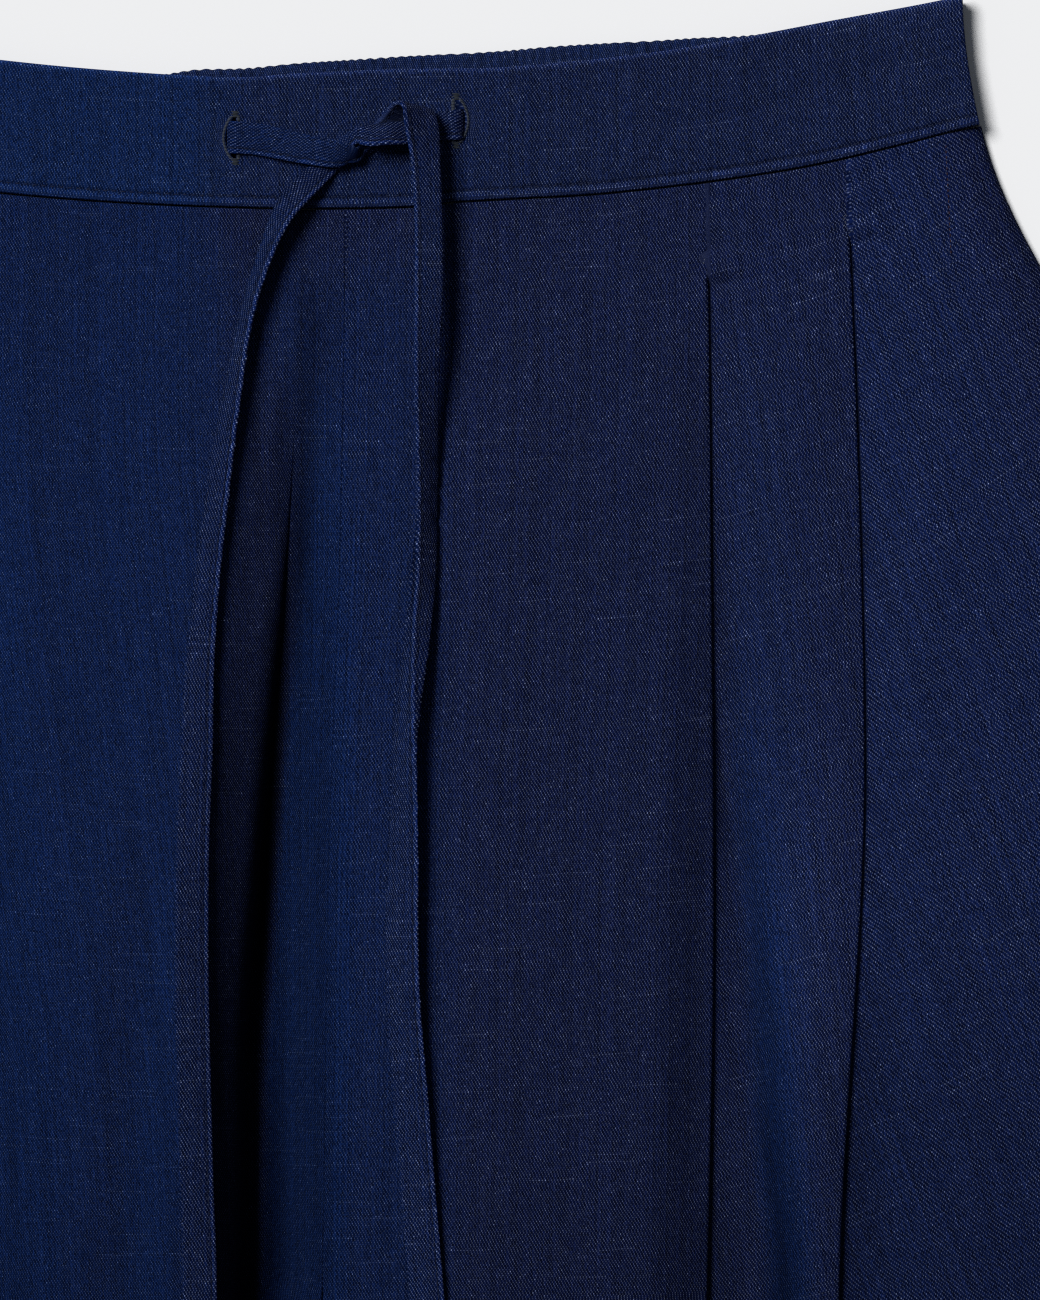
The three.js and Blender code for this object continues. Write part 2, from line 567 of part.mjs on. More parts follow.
const RIGHT_END = [
  { x: 34.3, s: 15.2, above: -1.4, heading: -90, tip: 0, width: 9.2, wall: 1.4 },
  { x: 34.3, s: 15.2, above: 0.4, heading: -90, tip: 0, width: 9.2, wall: 1.4 },
  { x: 32.9, s: 15.3, above: 1.6, heading: -90, tip: 0, width: 9, wall: 1.4 },
  { x: 30.4, s: 15.6, above: 1.4, heading: -90, tip: 0, width: 8.6, wall: 1.4 },
  { x: 27, s: 15.9, above: 1.2, heading: -90, tip: 0, width: 8, wall: 1.4 },
  { x: 22.4, s: 17.2, above: 3, heading: -90, tip: 6, width: 7.4, wall: 1.4 },
  { x: 17.8, s: 17.8, above: 5.4, heading: -90, tip: 24, width: 7.6, wall: 1.4 },
  { x: 12.6, s: 18.2, above: 7.4, heading: -90, tip: 38, width: 8.2, wall: 1.4 },
  { x: 8, s: 18.6, above: 7.4, heading: -88, tip: 38, width: 8.2, wall: 1.4 },
  { x: 3.4, s: 18.7, above: 5.7, heading: -80, tip: 22, width: 5, wall: 1.4 },
  { x: 0, s: 21.6, above: 2.9, heading: -62, tip: 8, width: 5.8, wall: 1.4 },
  { x: -2.6, s: 24.4, above: 1.2, heading: -50, tip: 0, width: 5.8, wall: 1.4 },
  { x: -5.4, s: 27.5, above: 1.15, heading: -46, tip: 0, width: 6.4, wall: 1.4 },
  { x: -8.8, s: 30.6, above: 2.2, heading: -42, tip: 8, width: 7.4, wall: 1.4 },
  { x: -13.6, s: 35.4, above: 3.6, heading: -38, tip: 20, width: 8, wall: 1.4 },
  { x: -18.2, s: 41.4, above: 4.6, heading: -32, tip: 32, width: 7.8, wall: 1.4 },
  { x: -22, s: 49.4, above: 5.2, heading: -22, tip: 44, width: 7.2, wall: 1.4 },
  { x: -25.4, s: 59, above: 4.8, heading: -14, tip: 50, width: 6.8, wall: 1.4 },
  { x: -28.4, s: 69, above: 3.7, heading: -10, tip: 50, width: 6.6, wall: 1.4 },
  { x: -30.7, s: 79.5, above: 3.4, heading: -8, tip: 46, width: 6.6, wall: 1.4 },
  { x: -33.2, s: 95, above: 3, heading: -6, tip: 38, width: 7, wall: 1.4 },
  { x: -35.8, s: 111, above: 2.8, heading: -6, tip: 30, width: 7.8, wall: 1.4 },
  { x: -37.9, s: 128, above: 2.5, heading: -6, tip: 24, width: 7.8, wall: 1.4 },
  { x: -39.7, s: 143, above: 2.9, heading: -5, tip: 20, width: 7.8, wall: 1.4 },
  { x: -41.2, s: 159, above: 3, heading: -4, tip: 15, width: 8, wall: 1.4 },
  { x: -42.5, s: 176, above: 3, heading: -3, tip: 10, width: 8.7, wall: 1.4 },
  { x: -43.3, s: 198, above: 2.8, heading: -2, tip: 4, width: 9.6, wall: 1.4 },
  { x: -44.4, s: 228, above: 2.8, heading: 0, tip: 0, width: 9.6, wall: 1.4 },
  { x: -44.6, s: 268, above: 3, heading: 0, tip: 0, width: 9.9, wall: 1.4 },
  { x: -44, s: 295, above: 3.2, heading: 0, tip: 0, width: 9.9, wall: 1.4 },
  { x: -43.1, s: 326, above: 3.2, heading: 0, tip: 0, width: 9.8, wall: 1.4 },
  { x: -42.2, s: 356, above: 2.8, heading: 0, tip: 0, width: 10, wall: 1.4 },
  { x: -42.6, s: 382, above: 2.2, heading: 0, tip: 0, width: 9.8, wall: 1.4 },
  { x: -44, s: 404, above: 1.8, heading: 0, tip: 0, width: 9.6, wall: 1.4 },
];

const BAND_STEP = 12; // the tape comes down from the waistband to the panel over this length
const TAPE_FLAT = 0.86; // share of the tape's half width that is flat, before its rounded edge

/** Height of the upper face of whatever cloth lies at x and v. */
function clothTop(x, v) {
  const panel = frontHeight(x, Math.max(v, BAND_HEIGHT)) + CLOTH / 2;
  return mix(BAND_TOP, panel, smoothstep((v - BAND_HEIGHT) / BAND_STEP));
}

/** Closed flat tape along the rows' points, with eight sides and rounded edges. */
function tape(rows, stepsPerRow) {
  const spot = (row) => {
    const v = levelAt(row.x, row.s);
    return place(row.x, v, clothTop(row.x, v) + row.above);
  };
  const path = new THREE.CatmullRomCurve3(rows.map(spot), false, "centripetal");
  const last = rows.length - 1;
  const f = TAPE_FLAT;
  const corners = [[1, 0], [f, 1], [0, 1], [-f, 1], [-1, 0], [-f, -1], [0, -1], [f, -1]];
  const points = [];
  const steps = last * stepsPerRow;
  for (let k = 0; k <= steps; k += 1) {
    const t = k / steps;
    const i = Math.min(last - 1, Math.floor(t * last));
    const part = t * last - i;
    const value = (name) => mix(rows[i][name], rows[i + 1][name], part);
    const heading = THREE.MathUtils.degToRad(value("heading"));
    const tip = THREE.MathUtils.degToRad(value("tip"));
    const tangent = path.getTangent(t);
    const across = new THREE.Vector3(
      Math.cos(heading) * Math.cos(tip), Math.sin(heading) * Math.cos(tip), Math.sin(tip));
    across.addScaledVector(tangent, -across.dot(tangent)).normalize();
    const face = new THREE.Vector3().crossVectors(tangent, across);
    for (const [a, b] of corners) {
      points.push(path.getPoint(t)
        .addScaledVector(across, (a * value("width")) / 2)
        .addScaledVector(face, (b * value("wall")) / 2));
    }
  }
  const sides = corners.length;
  const index = [];
  for (let k = 0; k < steps; k += 1) {
    for (let a = 0; a < sides; a += 1) {
      const b = (a + 1) % sides;
      const [p, q, r, s] = [k * sides + a, k * sides + b, (k + 1) * sides + b, (k + 1) * sides + a];
      index.push(p, q, r, p, r, s);
    }
  }
  for (let a = 1; a < sides - 1; a += 1) {
    index.push(0, a + 1, a);
    index.push(steps * sides, steps * sides + a, steps * sides + a + 1);
  }
  const geometry = new THREE.BufferGeometry();
  geometry.setAttribute("position", new THREE.Float32BufferAttribute(points.flatMap((p) => p.toArray()), 3));
  geometry.setIndex(index);
  return geometry;
}

addPiece("drawstring_left", tape(LEFT_END, 2), INDIGO_TAPE, 0.8);
addPiece("drawstring_right", tape(RIGHT_END, 2), INDIGO_TAPE, 0.8);

export default garment;
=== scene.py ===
"""Baggy drawstring trousers in dark indigo cloth, laid flat on a table with the front side up.

Sizes are in millimetres. A place on the garment is x, across from the middle, and v, down from the
waistline, which dips in the middle and rises to both sides. Left and right are the viewer's.
"""

import bpy
import numpy as np
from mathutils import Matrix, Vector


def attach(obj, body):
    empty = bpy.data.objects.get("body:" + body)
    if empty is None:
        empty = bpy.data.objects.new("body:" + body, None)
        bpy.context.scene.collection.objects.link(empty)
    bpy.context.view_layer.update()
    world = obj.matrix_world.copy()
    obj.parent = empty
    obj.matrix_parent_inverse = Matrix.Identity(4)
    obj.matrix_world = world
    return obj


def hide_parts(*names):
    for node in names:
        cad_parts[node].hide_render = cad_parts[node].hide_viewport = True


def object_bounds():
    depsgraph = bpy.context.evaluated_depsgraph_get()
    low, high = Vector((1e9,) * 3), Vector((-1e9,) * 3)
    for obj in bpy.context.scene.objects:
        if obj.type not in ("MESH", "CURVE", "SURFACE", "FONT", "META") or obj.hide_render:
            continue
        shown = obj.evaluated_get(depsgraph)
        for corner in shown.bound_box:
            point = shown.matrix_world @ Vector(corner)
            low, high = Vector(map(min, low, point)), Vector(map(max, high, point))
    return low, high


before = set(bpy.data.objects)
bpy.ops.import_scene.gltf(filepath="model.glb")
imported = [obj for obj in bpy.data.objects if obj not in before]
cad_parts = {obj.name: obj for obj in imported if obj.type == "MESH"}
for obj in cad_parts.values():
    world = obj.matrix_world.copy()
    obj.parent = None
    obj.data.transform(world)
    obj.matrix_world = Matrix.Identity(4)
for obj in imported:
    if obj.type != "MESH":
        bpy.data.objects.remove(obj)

cad_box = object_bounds()
MM = 0.001


def matte(name, roughness, shine):
    """A new material with that roughness and specular level, its node tree and its shader."""
    material = bpy.data.materials.new(name)
    material.use_nodes = True
    shader = material.node_tree.nodes["Principled BSDF"]
    shader.inputs["Roughness"].default_value = roughness
    shader.inputs["Specular IOR Level"].default_value = shine
    return material, material.node_tree, shader


# ---- Table, lamp and camera ----------------------------------------------------------------------
# The garment lies on a pale matt table top and is seen from straight above through a long lens. One
# large soft lamp stands at its upper left, and the pale room fills the shadows only a little.

TABLE_HALF = 12.0  # metres
VIEW_RIGHT_OF_MIDDLE = 51.5  # centre of the view, to the right of the garment's middle
VIEW_BELOW_WAIST = 192.4  # and below the highest point of the waist
VIEW_HEIGHT = 382.4  # what the view takes in, at the height of VIEW_PLANE
VIEW_PLANE = 16.0
LENS, SENSOR = 400.0, 36.0
LAMP_STRENGTH = 3.45
LAMP_ANGLE = 26.0  # how wide the lamp looks from the table, in degrees
LAMP_FROM = (-0.74, 0.55, 1.2)
ROOM_LIGHT = 0.10

table_mesh = bpy.data.meshes.new("table_top")
table_mesh.from_pydata(
    [(x * TABLE_HALF, y * TABLE_HALF, 0) for x, y in ((-1, -1), (1, -1), (1, 1), (-1, 1))],
    [], [(0, 1, 2, 3)])
table_top = bpy.data.objects.new("table_top", table_mesh)
bpy.context.collection.objects.link(table_top)
table_paint, _, table_shader = matte("table_paint", 0.9, 0.1)
table_shader.inputs["Base Color"].default_value = (0.9, 0.9, 0.9, 1)
table_mesh.materials.append(table_paint)

world = bpy.data.worlds.new("room")
world.use_nodes = True
world.node_tree.nodes["Background"].inputs["Color"].default_value = (0.80, 0.88, 1.0, 1)
world.node_tree.nodes["Background"].inputs["Strength"].default_value = ROOM_LIGHT
bpy.context.scene.world = world

lamp_data = bpy.data.lights.new("lamp", "SUN")
lamp_data.energy = LAMP_STRENGTH
lamp_data.angle = np.radians(LAMP_ANGLE)
lamp = bpy.data.objects.new("lamp", lamp_data)
bpy.context.collection.objects.link(lamp)
lamp.location = LAMP_FROM
lamp.rotation_mode = "QUATERNION"
lamp.rotation_quaternion = lamp.location.to_track_quat("Z", "Y")

camera_data = bpy.data.cameras.new("camera")
camera_data.lens, camera_data.sensor_width = LENS, SENSOR
camera = bpy.data.objects.new("camera", camera_data)
bpy.context.collection.objects.link(camera)
camera.location = (
    VIEW_RIGHT_OF_MIDDLE * MM,
    cad_box[1].y - VIEW_BELOW_WAIST * MM,
    (VIEW_PLANE + VIEW_HEIGHT * LENS / SENSOR) * MM)
camera_data.clip_end = 100
bpy.context.scene.camera = camera
bpy.context.scene.view_settings.view_transform = "Standard"
bpy.context.scene.cycles.use_denoising = False  # it would smear the threads of the weave
bpy.context.scene.cycles.filter_width = 1.25

# ---- Front panels --------------------------------------------------------------------------------
# Two fronts of one soft mid-weight twill, indigo warp over a paler weft, joined by the centre-front
# seam. Each has two knife pleats, sewn down for 30 mm below the waistband and free below that. The
# legs lie full and round, with a deep valley between them, and the hems are turned up and stitched.

LENGTH = 1040.0  # waist to hem, down the middle
WAIST_HALF = 182.0
BAND = 40.0  # depth of the waistband
CROTCH = 378.0  # level of the crotch
SEAM_GAP = 0.004
SEAM_TURNS = 346.0  # from this level down, the centre seam's edges part a little toward the crotch
PANEL_TOP = BAND + 0.4
CLOTH = 0.7  # thickness
HEM = 26.0  # depth of the turned-up hem
HEM_RISE = 0.45  # how much higher the doubled cloth stands
BOW, TILT, BOW_END = 5.9e-4, 0.0154, 600.0  # the waistline's rise, per mm squared and per mm
SEAM_FURROW, SEAM_FURROW_HALF = 0.06, 0.8  # depth and half width
SOLE = 1.9  # height of a front's middle surface where it meets the back
FLOOR_ABOVE = 0.3  # and how much higher the valley's floor lies at least
STEEP_FROM, STEEP_OVER, STEEP_TO = 95.0, 70.0, 300.0  # levels where the valley's left wall has a steep foot
VALLEY_ROUNDS = 350.0  # from this level down, its right wall rounds into the leg


def rows(names, *values):
    """A short table: one array for each named column."""
    return dict(zip(names.split(), np.array(values, float).T))


def column(table, name, v, key="v"):
    """A column of a table at the levels v: a monotone cubic through its rows, held beyond the ends."""
    at, value = table[key], table[name]
    chord = np.diff(value) / np.diff(at)
    a, b = chord[:-1], chord[1:]
    slope = np.zeros(len(at))
    slope[1:-1] = np.where(a * b > 0, 2 * a * b / np.where(a + b == 0, 1, a + b), 0)
    v = np.clip(v, at[0], at[-1])
    i = np.clip(np.searchsorted(at, v, side="right") - 1, 0, len(at) - 2)
    width = at[i + 1] - at[i]
    t = (v - at[i]) / width
    return (value[i] * (1 + 2 * t) * (1 - t) ** 2 + value[i + 1] * t * t * (3 - 2 * t)
            + width * (slope[i] * t * (1 - t) ** 2 - slope[i + 1] * t * t * (1 - t)))


def smoothstep(t):
    t = np.clip(t, 0, 1)
    return t * t * (3 - 2 * t)


def mix(a, b, t):
    return a + (b - a) * t


def bell(off, half):
    """1 where off is 0, falling to both sides over about that half width."""
    return np.exp(-(off / half) ** 2)


def rolled(q):
    """Quarter-round profile of a rolled fold: 0 at the fold, 1 where the cloth has become level."""
    return np.sqrt(1 - (1 - np.clip(q, 0, 1)) ** 2)


# The side seam's distance from the middle with the radius of the fold along it, the height of the open
# front, the centre seam, the valley's two edges, depth and walls, and the legs' inner edges.
SIDE = rows(
    "v half roll",
    (0, 182, 12), (40, 187, 14), (120, 222, 32), (220, 262, 48), (378, 296, 62), (600, 306, 60),
    (800, 302, 55), (1040, 290, 50))
FULLNESS = rows(
    "v height",
    (40, 5.9), (60, 7), (90, 9.6), (130, 13), (180, 17.5), (240, 22), (300, 25.5), (361, 28.5),
    (450, 29), (600, 25), (800, 19), (1040, 13))
CENTRE_SEAM = rows("v x", (40, 0), (138, -1.2), (228, -4.4), (330, -5.9), (361, -6.4), (371, -15), (378, -28))
VALLEY = rows(
    "v left right depth left_wall right_wall",
    (70, -13.6, -13, 0, 6, 14), (111, -15.4, -14, 3, 8, 17), (155, -18.4, -16.6, 7.8, 16, 19),
    (199, -22.6, -19.6, 13, 18, 21), (243, -26.4, -21.8, 18.4, 16, 23), (300, -30.2, -25.2, 22.6, 11.6, 25),
    (361, -30.4, -26, 25.9, 9.4, 25), (378, -29.6, -26, 27.2, 9, 25))
INSEAM = rows(
    "v left right roll",
    (378, -28.2, -27.8, 12), (420, -35, -21, 16), (520, -40, -8, 24), (700, -38, 6, 30), (1040, -28, 18, 30))

# A fold edge's distance from the middle, how far the cloth goes back under it, the angle that it
# turns through, and the radius of each turn.
PLEATS = (
    rows("v x under turn radius",
         (40, 106.2, 0.4, 5, 0.5), (67, 106.6, 0.4, 5, 0.5), (70, 106.6, 0.4, 120, 0.42),
         (72, 106.7, 2, 178, 0.42), (84, 106.9, 13, 180, 0.44), (134, 107.4, 14, 180, 0.52),
         (250, 108.2, 13, 180, 0.54), (366, 106.2, 10, 180, 0.8), (540, 102, 1, 180, 0.8),
         (700, 100, 0.4, 20, 0.8), (1040, 100, 0.4, 6, 0.8)),
    rows("v x under turn radius",
         (40, 147.6, 0.4, 5, 0.5), (62, 148.2, 0.4, 5, 0.5), (65, 148.4, 0.4, 120, 0.42),
         (67, 148.5, 2, 178, 0.42), (80, 149, 11, 180, 0.44), (123, 150.6, 12, 180, 0.46),
         (215, 152.5, 11, 180, 0.44), (366, 144.9, 8, 180, 0.85), (540, 143, 1, 180, 0.8),
         (700, 144, 0.4, 20, 0.8), (1040, 146, 0.4, 6, 0.8)))
LIP = 3.8  # the stretch just before a fold edge, where the lines lie closer together
EMERGE = 0.5  # past a fold edge, the cloth below is in the open from here
RECOVER = 20.0  # and has come back up by here

# Long soft folds: which fronts have them, then centre line, height (a trough is negative) and the
# width of each side.
HOLLOW = rows(
    "v x height near far", (150, 109, 0, 6, 7), (207, 111.5, -1.6, 5, 7), (237, 115, -2.4, 8, 7),
    (265, 118.5, -3.2, 10, 7), (294, 120.5, -3.8, 12, 7.5), (323, 122.5, -4.4, 13, 8),
    (354, 126, -5, 15, 9), (420, 127, -4.6, 18, 11), (640, 124, 0, 18, 18))  # between the two pleats
SOFT_FOLDS = [(hands, rows("v x height near far", *values)) for hands, *values in (
    ((1, -1), (66, 107, 0, 12, 18), (110, 108, -1.8, 14, 24), (180, 109, -3.4, 16, 28),
     (240, 110, -5.4, 19, 30), (366, 108, -6.4, 22, 32), (620, 104, 0, 22, 28)),
    ((1, -1), (66, 150, 0, 8, 16), (110, 151, -0.4, 8, 20), (240, 153, -0.5, 8, 26),
     (366, 147, -0.8, 9, 28), (620, 144, 0, 14, 24)),
    ((1,), (80, 30, 0, 30, 56), (160, 32, 1.2, 33, 60), (260, 33, 2, 37, 60), (370, 33, 2, 38, 60),
     (640, 60, 0, 50, 60)),
    ((-1,), (44, 34, 1.4, 14, 60), (90, 34, 2.4, 12, 60), (160, 38, 3.4, 12, 62), (260, 44, 4.2, 12, 60),
     (370, 45, 4.2, 12, 60), (640, 70, 0, 24, 60)),
    ((-1,), (190, 54, 0, 12, 14), (260, 58, -1.6, 12, 16), (380, 64, -2.2, 14, 18), (600, 80, 0, 16, 20)),
    ((1, -1), (430, 190, 0, 22, 24), (560, 186, 3, 24, 28), (800, 190, 2.4, 26, 28), (1040, 196, 2, 26, 28)),
    ((1, -1), (470, 70, 0, 20, 24), (640, 84, -3, 22, 26), (860, 96, -2.6, 22, 26), (1040, 100, -2, 22, 26)),
)] + [((1, -1), HOLLOW)]

# Small creases and pulls: middle, half length, half width, height and direction in degrees.
CREASES = rows(
    "x s long wide height turn",
    (7, 42.5, 6, 1.1, 0.35, 28), (11, 45.5, 7, 1.2, -0.3, 30), (14, 48.5, 7, 1.2, 0.3, 33),
    (-9, 44, 6, 1.2, -0.3, -24), (4, 51, 5, 1, -0.25, 24), (-6, 52, 5, 1, 0.25, -30),
    (109, 51, 7, 1.4, -0.45, 40), (112, 56, 7, 1.5, 0.35, 44), (101, 53, 6, 1.4, 0.3, -48),
    (102, 60, 6, 1.3, -0.3, -52), (152, 46, 7, 1.4, -0.35, 38), (143, 50, 6, 1.3, 0.3, -46),
    (-10, 303, 9, 1.3, -0.4, -8), (-1, 309, 6, 1.1, 0.3, -10), (-12, 316, 7, 1.2, 0.3, -6),
    (-9, 322, 6, 1, -0.3, -4), (60, 250, 40, 12, 0.5, 86), (30, 330, 50, 12, -0.5, 88),
    (70, 120, 30, 10, 0.35, 80), (170, 150, 40, 9, 0.5, 74), (166, 260, 50, 9, -0.5, 78))

# How far the waistband's top edge, and its seam, lie below the plain bow.
TOP_DIPS = rows(
    "x dip",
    (-182, 0), (-70, 0.9), (-35, 1.3), (-10, -0.3), (14, -0.9), (50, 0.2), (90, 0), (145, -1.2), (182, -0.6))
SEAM_DIPS = rows(
    "x dip",
    (-182, 0), (-45, -0.4), (19, -0.1), (32, -1), (50, -0.8), (75, 0), (132, 0.5), (166, -0.7), (182, -1.3))


def bow(x, v):
    """Rise of the row v above its middle, at x: full at the waist, gone where the rows are straight."""
    return (BOW * x * x + TILT * x) * (1 - smoothstep((v - BAND) / (BOW_END - BAND)))


MIDDLE = (LENGTH - (BOW * WAIST_HALF + TILT) * WAIST_HALF) / 2  # y of the waistline's middle


def settle(x, v):
    """How far the cloth at x and v lies lower than the plain bow: the waist's small dips and rises."""
    down = np.clip(v / BAND, 0, 1)
    fade = 1 - smoothstep((v - BAND) / 50)
    return mix(column(TOP_DIPS, "dip", x, "x"), column(SEAM_DIPS, "dip", x, "x"), down) * fade


def place(x, v, z):
    """Garment places to points in millimetres, the last axis x, y and z."""
    return np.stack(np.broadcast_arrays(x, MIDDLE - v + bow(x, v) - settle(x, v), z), axis=-1)


def creased(creases, x, s):
    """Height that small creases add: each is a bell across its line and a longer bell along it."""
    total = 0 * x
    for row in zip(*creases.values()):
        x0, s0, long, wide, height, turn = row
        c, n = np.cos(np.radians(turn)), np.sin(np.radians(turn))
        along, across = (x - x0) * c - (s - s0) * n, (x - x0) * n + (s - s0) * c
        total = total + height * np.exp(-(along / long) ** 2 - (across / wide) ** 2)
    return total


def uneven(x, y, size, seed):
    """Smooth random relief, mostly between -1 and 1: twelve waves of about that length, in all directions."""
    dice = np.random.default_rng(seed)
    angle, start = dice.uniform(0, 2 * np.pi, (2, 12))
    wave = 2 * np.pi / (size * dice.uniform(0.6, 1.6, 12))
    return sum(np.sin((x * np.cos(a) + y * np.sin(a)) * w + b) for a, b, w in zip(angle, start, wave)) / 6


def front_height(x, v, hand):
    """Height of the middle surface of the front cloth: the fullness of the leg with its long folds, let
    down round the side fold, and round the valley or the inseam fold."""
    out = np.abs(x)
    z = column(FULLNESS, "height", v) + 0 * out
    for hands, fold in SOFT_FOLDS:
        if hand in hands:
            off = out - column(fold, "x", v)
            reach = np.abs(off) / np.where(off < 0, column(fold, "near", v), column(fold, "far", v))
            z = z + column(fold, "height", v) * (1 - smoothstep(reach))
    z = mix(SOLE, z, rolled((column(SIDE, "half", v) - out) / column(SIDE, "roll", v)))
    left, right = column(VALLEY, "left", v), column(VALLEY, "right", v)
    sharpness = mix(0.8, 0.6, smoothstep((v - 90) / 150))
    sharpness = mix(sharpness, 1, smoothstep((v - STEEP_TO) / (CROTCH - STEEP_TO)))
    q = (left - x) / column(VALLEY, "left_wall", v)
    steep = mix(smoothstep(q), rolled(q) ** sharpness, smoothstep((v - STEEP_FROM) / STEEP_OVER))
    q = (x - right) / column(VALLEY, "right_wall", v)
    gentle = mix(smoothstep(q), rolled(q), smoothstep((v - VALLEY_ROUNDS) / (CROTCH - VALLEY_ROUNDS)))
    wall = np.where(x < left, steep, gentle)
    floor = np.maximum(column(FULLNESS, "height", v) - column(VALLEY, "depth", v), SOLE + FLOOR_ABOVE)
    body = mix(np.minimum(z, floor), z, wall)
    edge = column(INSEAM, "right" if hand > 0 else "left", v)
    leg = mix(SOLE, z, rolled((x - edge) * hand / column(INSEAM, "roll", v)))
    return np.where(v < CROTCH, body, leg)


def front_relief(x, v, hand):
    """The same height with the small creases, the furrow of the centre seam and the turned-up hem."""
    z = front_height(x, v, hand) + creased(CREASES, x, v - bow(x, v))
    z = z + 0.16 * uneven(x, v, 26, 3) + 0.05 * uneven(x, v, 7, 4)
    from_seam = np.abs(x - column(CENTRE_SEAM, "x", v))
    z = z - SEAM_FURROW * bell(from_seam, SEAM_FURROW_HALF) * (v < CROTCH)
    return z + HEM_RISE * smoothstep((v - (LENGTH - HEM)) / 1.5)


def seam_edge(v, hand):
    """x of one front's edge along the centre seam, whose gap widens where it turns to the crotch."""
    wider = 1 + 300 * smoothstep((v - SEAM_TURNS) / (CROTCH - SEAM_TURNS))
    return column(CENTRE_SEAM, "x", v) + hand * SEAM_GAP / 2 * wider


def front_lines(v, hand):
    """Lines of the front, one row for each level of the column v: distance out from the middle, the drop
    below the open cloth, and how many pleats lie nearer the middle. Open stretches alternate with the
    turns of the two pleats."""
    leg = column(INSEAM, "right" if hand > 0 else "left", v)
    inner = hand * np.where(v < CROTCH, seam_edge(v, hand), leg)
    if hand > 0:
        stops, counts, powers = [inner, inner + 34], [46], [1.25]
    else:
        past_fold = inner + mix(1.5, 6, smoothstep((v - CROTCH) / 90))
        floor_end = np.where(v < CROTCH, -column(VALLEY, "left", v), past_fold)
        stops, counts, powers = [inner, floor_end, floor_end + 24], [22, 30], [1, 1.5]
    first_lip = column(PLEATS[0], "x", v) - LIP
    stops += [first_lip - 9, first_lip]
    counts += [26, 8]
    powers += [1, 1]
    outs, drops = [], []
    for a, b, n, power in zip(stops[:-1], stops[1:], counts, powers):
        outs.append(a + (b - a) * (np.arange(n) / n) ** power)
    drops.append(0 * np.concatenate(outs, axis=1))
    passed = [np.zeros(drops[0].shape[1], int)]
    for k, pleat in enumerate(PLEATS):
        turn, radius = np.radians(column(pleat, "turn", v)), column(pleat, "radius", v)
        under, edge = column(pleat, "under", v), column(pleat, "x", v)
        start = edge - radius
        lip = np.linspace(0, 1, 6)[None, :-1]
        outs.append(edge - LIP + (start - edge + LIP) * lip)
        drops.append(0 * outs[-1])
        arc = np.linspace(0, 1, 9)[None]
        first_out, first_drop = radius * np.sin(arc * turn), radius * (1 - np.cos(arc * turn))
        x1 = radius * np.sin(turn) + under * np.cos(turn)
        z1 = radius * (1 - np.cos(turn)) + under * np.sin(turn)
        back = 1 - arc
        outs += [start + first_out, start + x1 + radius * (np.sin(turn) - np.sin(back * turn))]
        drops += [first_drop, z1 + radius * (np.cos(back * turn) - np.cos(turn))]
        lowest = drops[-1][:, -1:]
        emerge = edge + EMERGE
        past = np.linspace(0, 1, 15)[None, 1:] ** 1.3
        outs.append(emerge - 3 + 0 * lowest)
        drops.append(lowest)
        outs.append(emerge + past * RECOVER)
        drops.append(lowest * (1 - smoothstep(past)))
        if k == 0:
            end = np.maximum(column(PLEATS[1], "x", v) - LIP - 0.8, emerge + RECOVER + 3)
            span = (np.arange(1, 13) / 13)[None]
        else:
            end = column(SIDE, "half", v)
            span = (1 - (1 - np.arange(1, 33) / 32) ** 1.8)[None]
        outs.append(emerge + RECOVER + (end - emerge - RECOVER) * span)
        drops.append(0 * outs[-1])
        folded = lip.size + 2 * arc.size
        passed += [np.full(folded, k), np.full(1 + past.size + span.size, k + 1)]
    return np.concatenate(outs, axis=1), np.concatenate(drops, axis=1), np.concatenate(passed)


def grid_quads(down, across, first=0):
    """Four corners for each cell of a grid of points, so that the faces look up where rows run down."""
    i, j = np.meshgrid(np.arange(down - 1), np.arange(across - 1), indexing="ij")
    a = (first + i * across + j).ravel()
    return np.stack([a, a + across, a + across + 1, a + 1], axis=1)


def tube_quads(rings, sides):
    """Four corners for each cell round a tube, given as rings of points."""
    at = np.arange(rings * sides).reshape(rings, sides)
    onward = np.roll(at, -1, axis=1)
    return np.stack([at[:-1], onward[:-1], onward[1:], at[1:]], axis=-1).reshape(-1, 4)


def make_piece(name, points, quads, flat, material, lean=0.5, tone_and_painted_light=0.0):
    """A mesh object from points in millimetres and quads. The cloth's own flat places, in millimetres
    too, are kept in metres as its UV map; each point also keeps how cool it looks, a tint that is partly
    painted light, and how much paler or darker it is painted, partly its own tone and partly painted light
    and shade."""
    mesh = bpy.data.meshes.new(name)
    mesh.vertices.add(len(points))
    mesh.vertices.foreach_set("co", (points * MM).astype(np.float32).ravel())
    mesh.loops.add(quads.size)
    mesh.loops.foreach_set("vertex_index", quads.astype(np.int32).ravel())
    mesh.polygons.add(len(quads))
    mesh.polygons.foreach_set("loop_start", np.arange(0, quads.size, 4, dtype=np.int32))
    mesh.polygons.foreach_set("use_smooth", np.ones(len(quads), bool))
    corners = (flat[quads.ravel()] * MM).astype(np.float32)
    mesh.uv_layers.new(name="cloth").data.foreach_set("uv", corners.ravel())
    for key, value in (("lean", lean), ("tone_and_painted_light", tone_and_painted_light)):
        kept = mesh.attributes.new(key, "FLOAT", "POINT")
        kept.data.foreach_set("value", (np.ravel(value) + np.zeros(len(points))).astype(np.float32))
    mesh.materials.append(material)
    mesh.update()
    piece = bpy.data.objects.new(name, mesh)
    bpy.context.collection.objects.link(piece)
    return piece


def normals(middle):
    """Unit normals of a grid of points, rows down, points left to right."""
    normal = np.cross(np.gradient(middle, axis=0), np.gradient(middle, axis=1))
    return normal / np.linalg.norm(normal, axis=-1, keepdims=True)


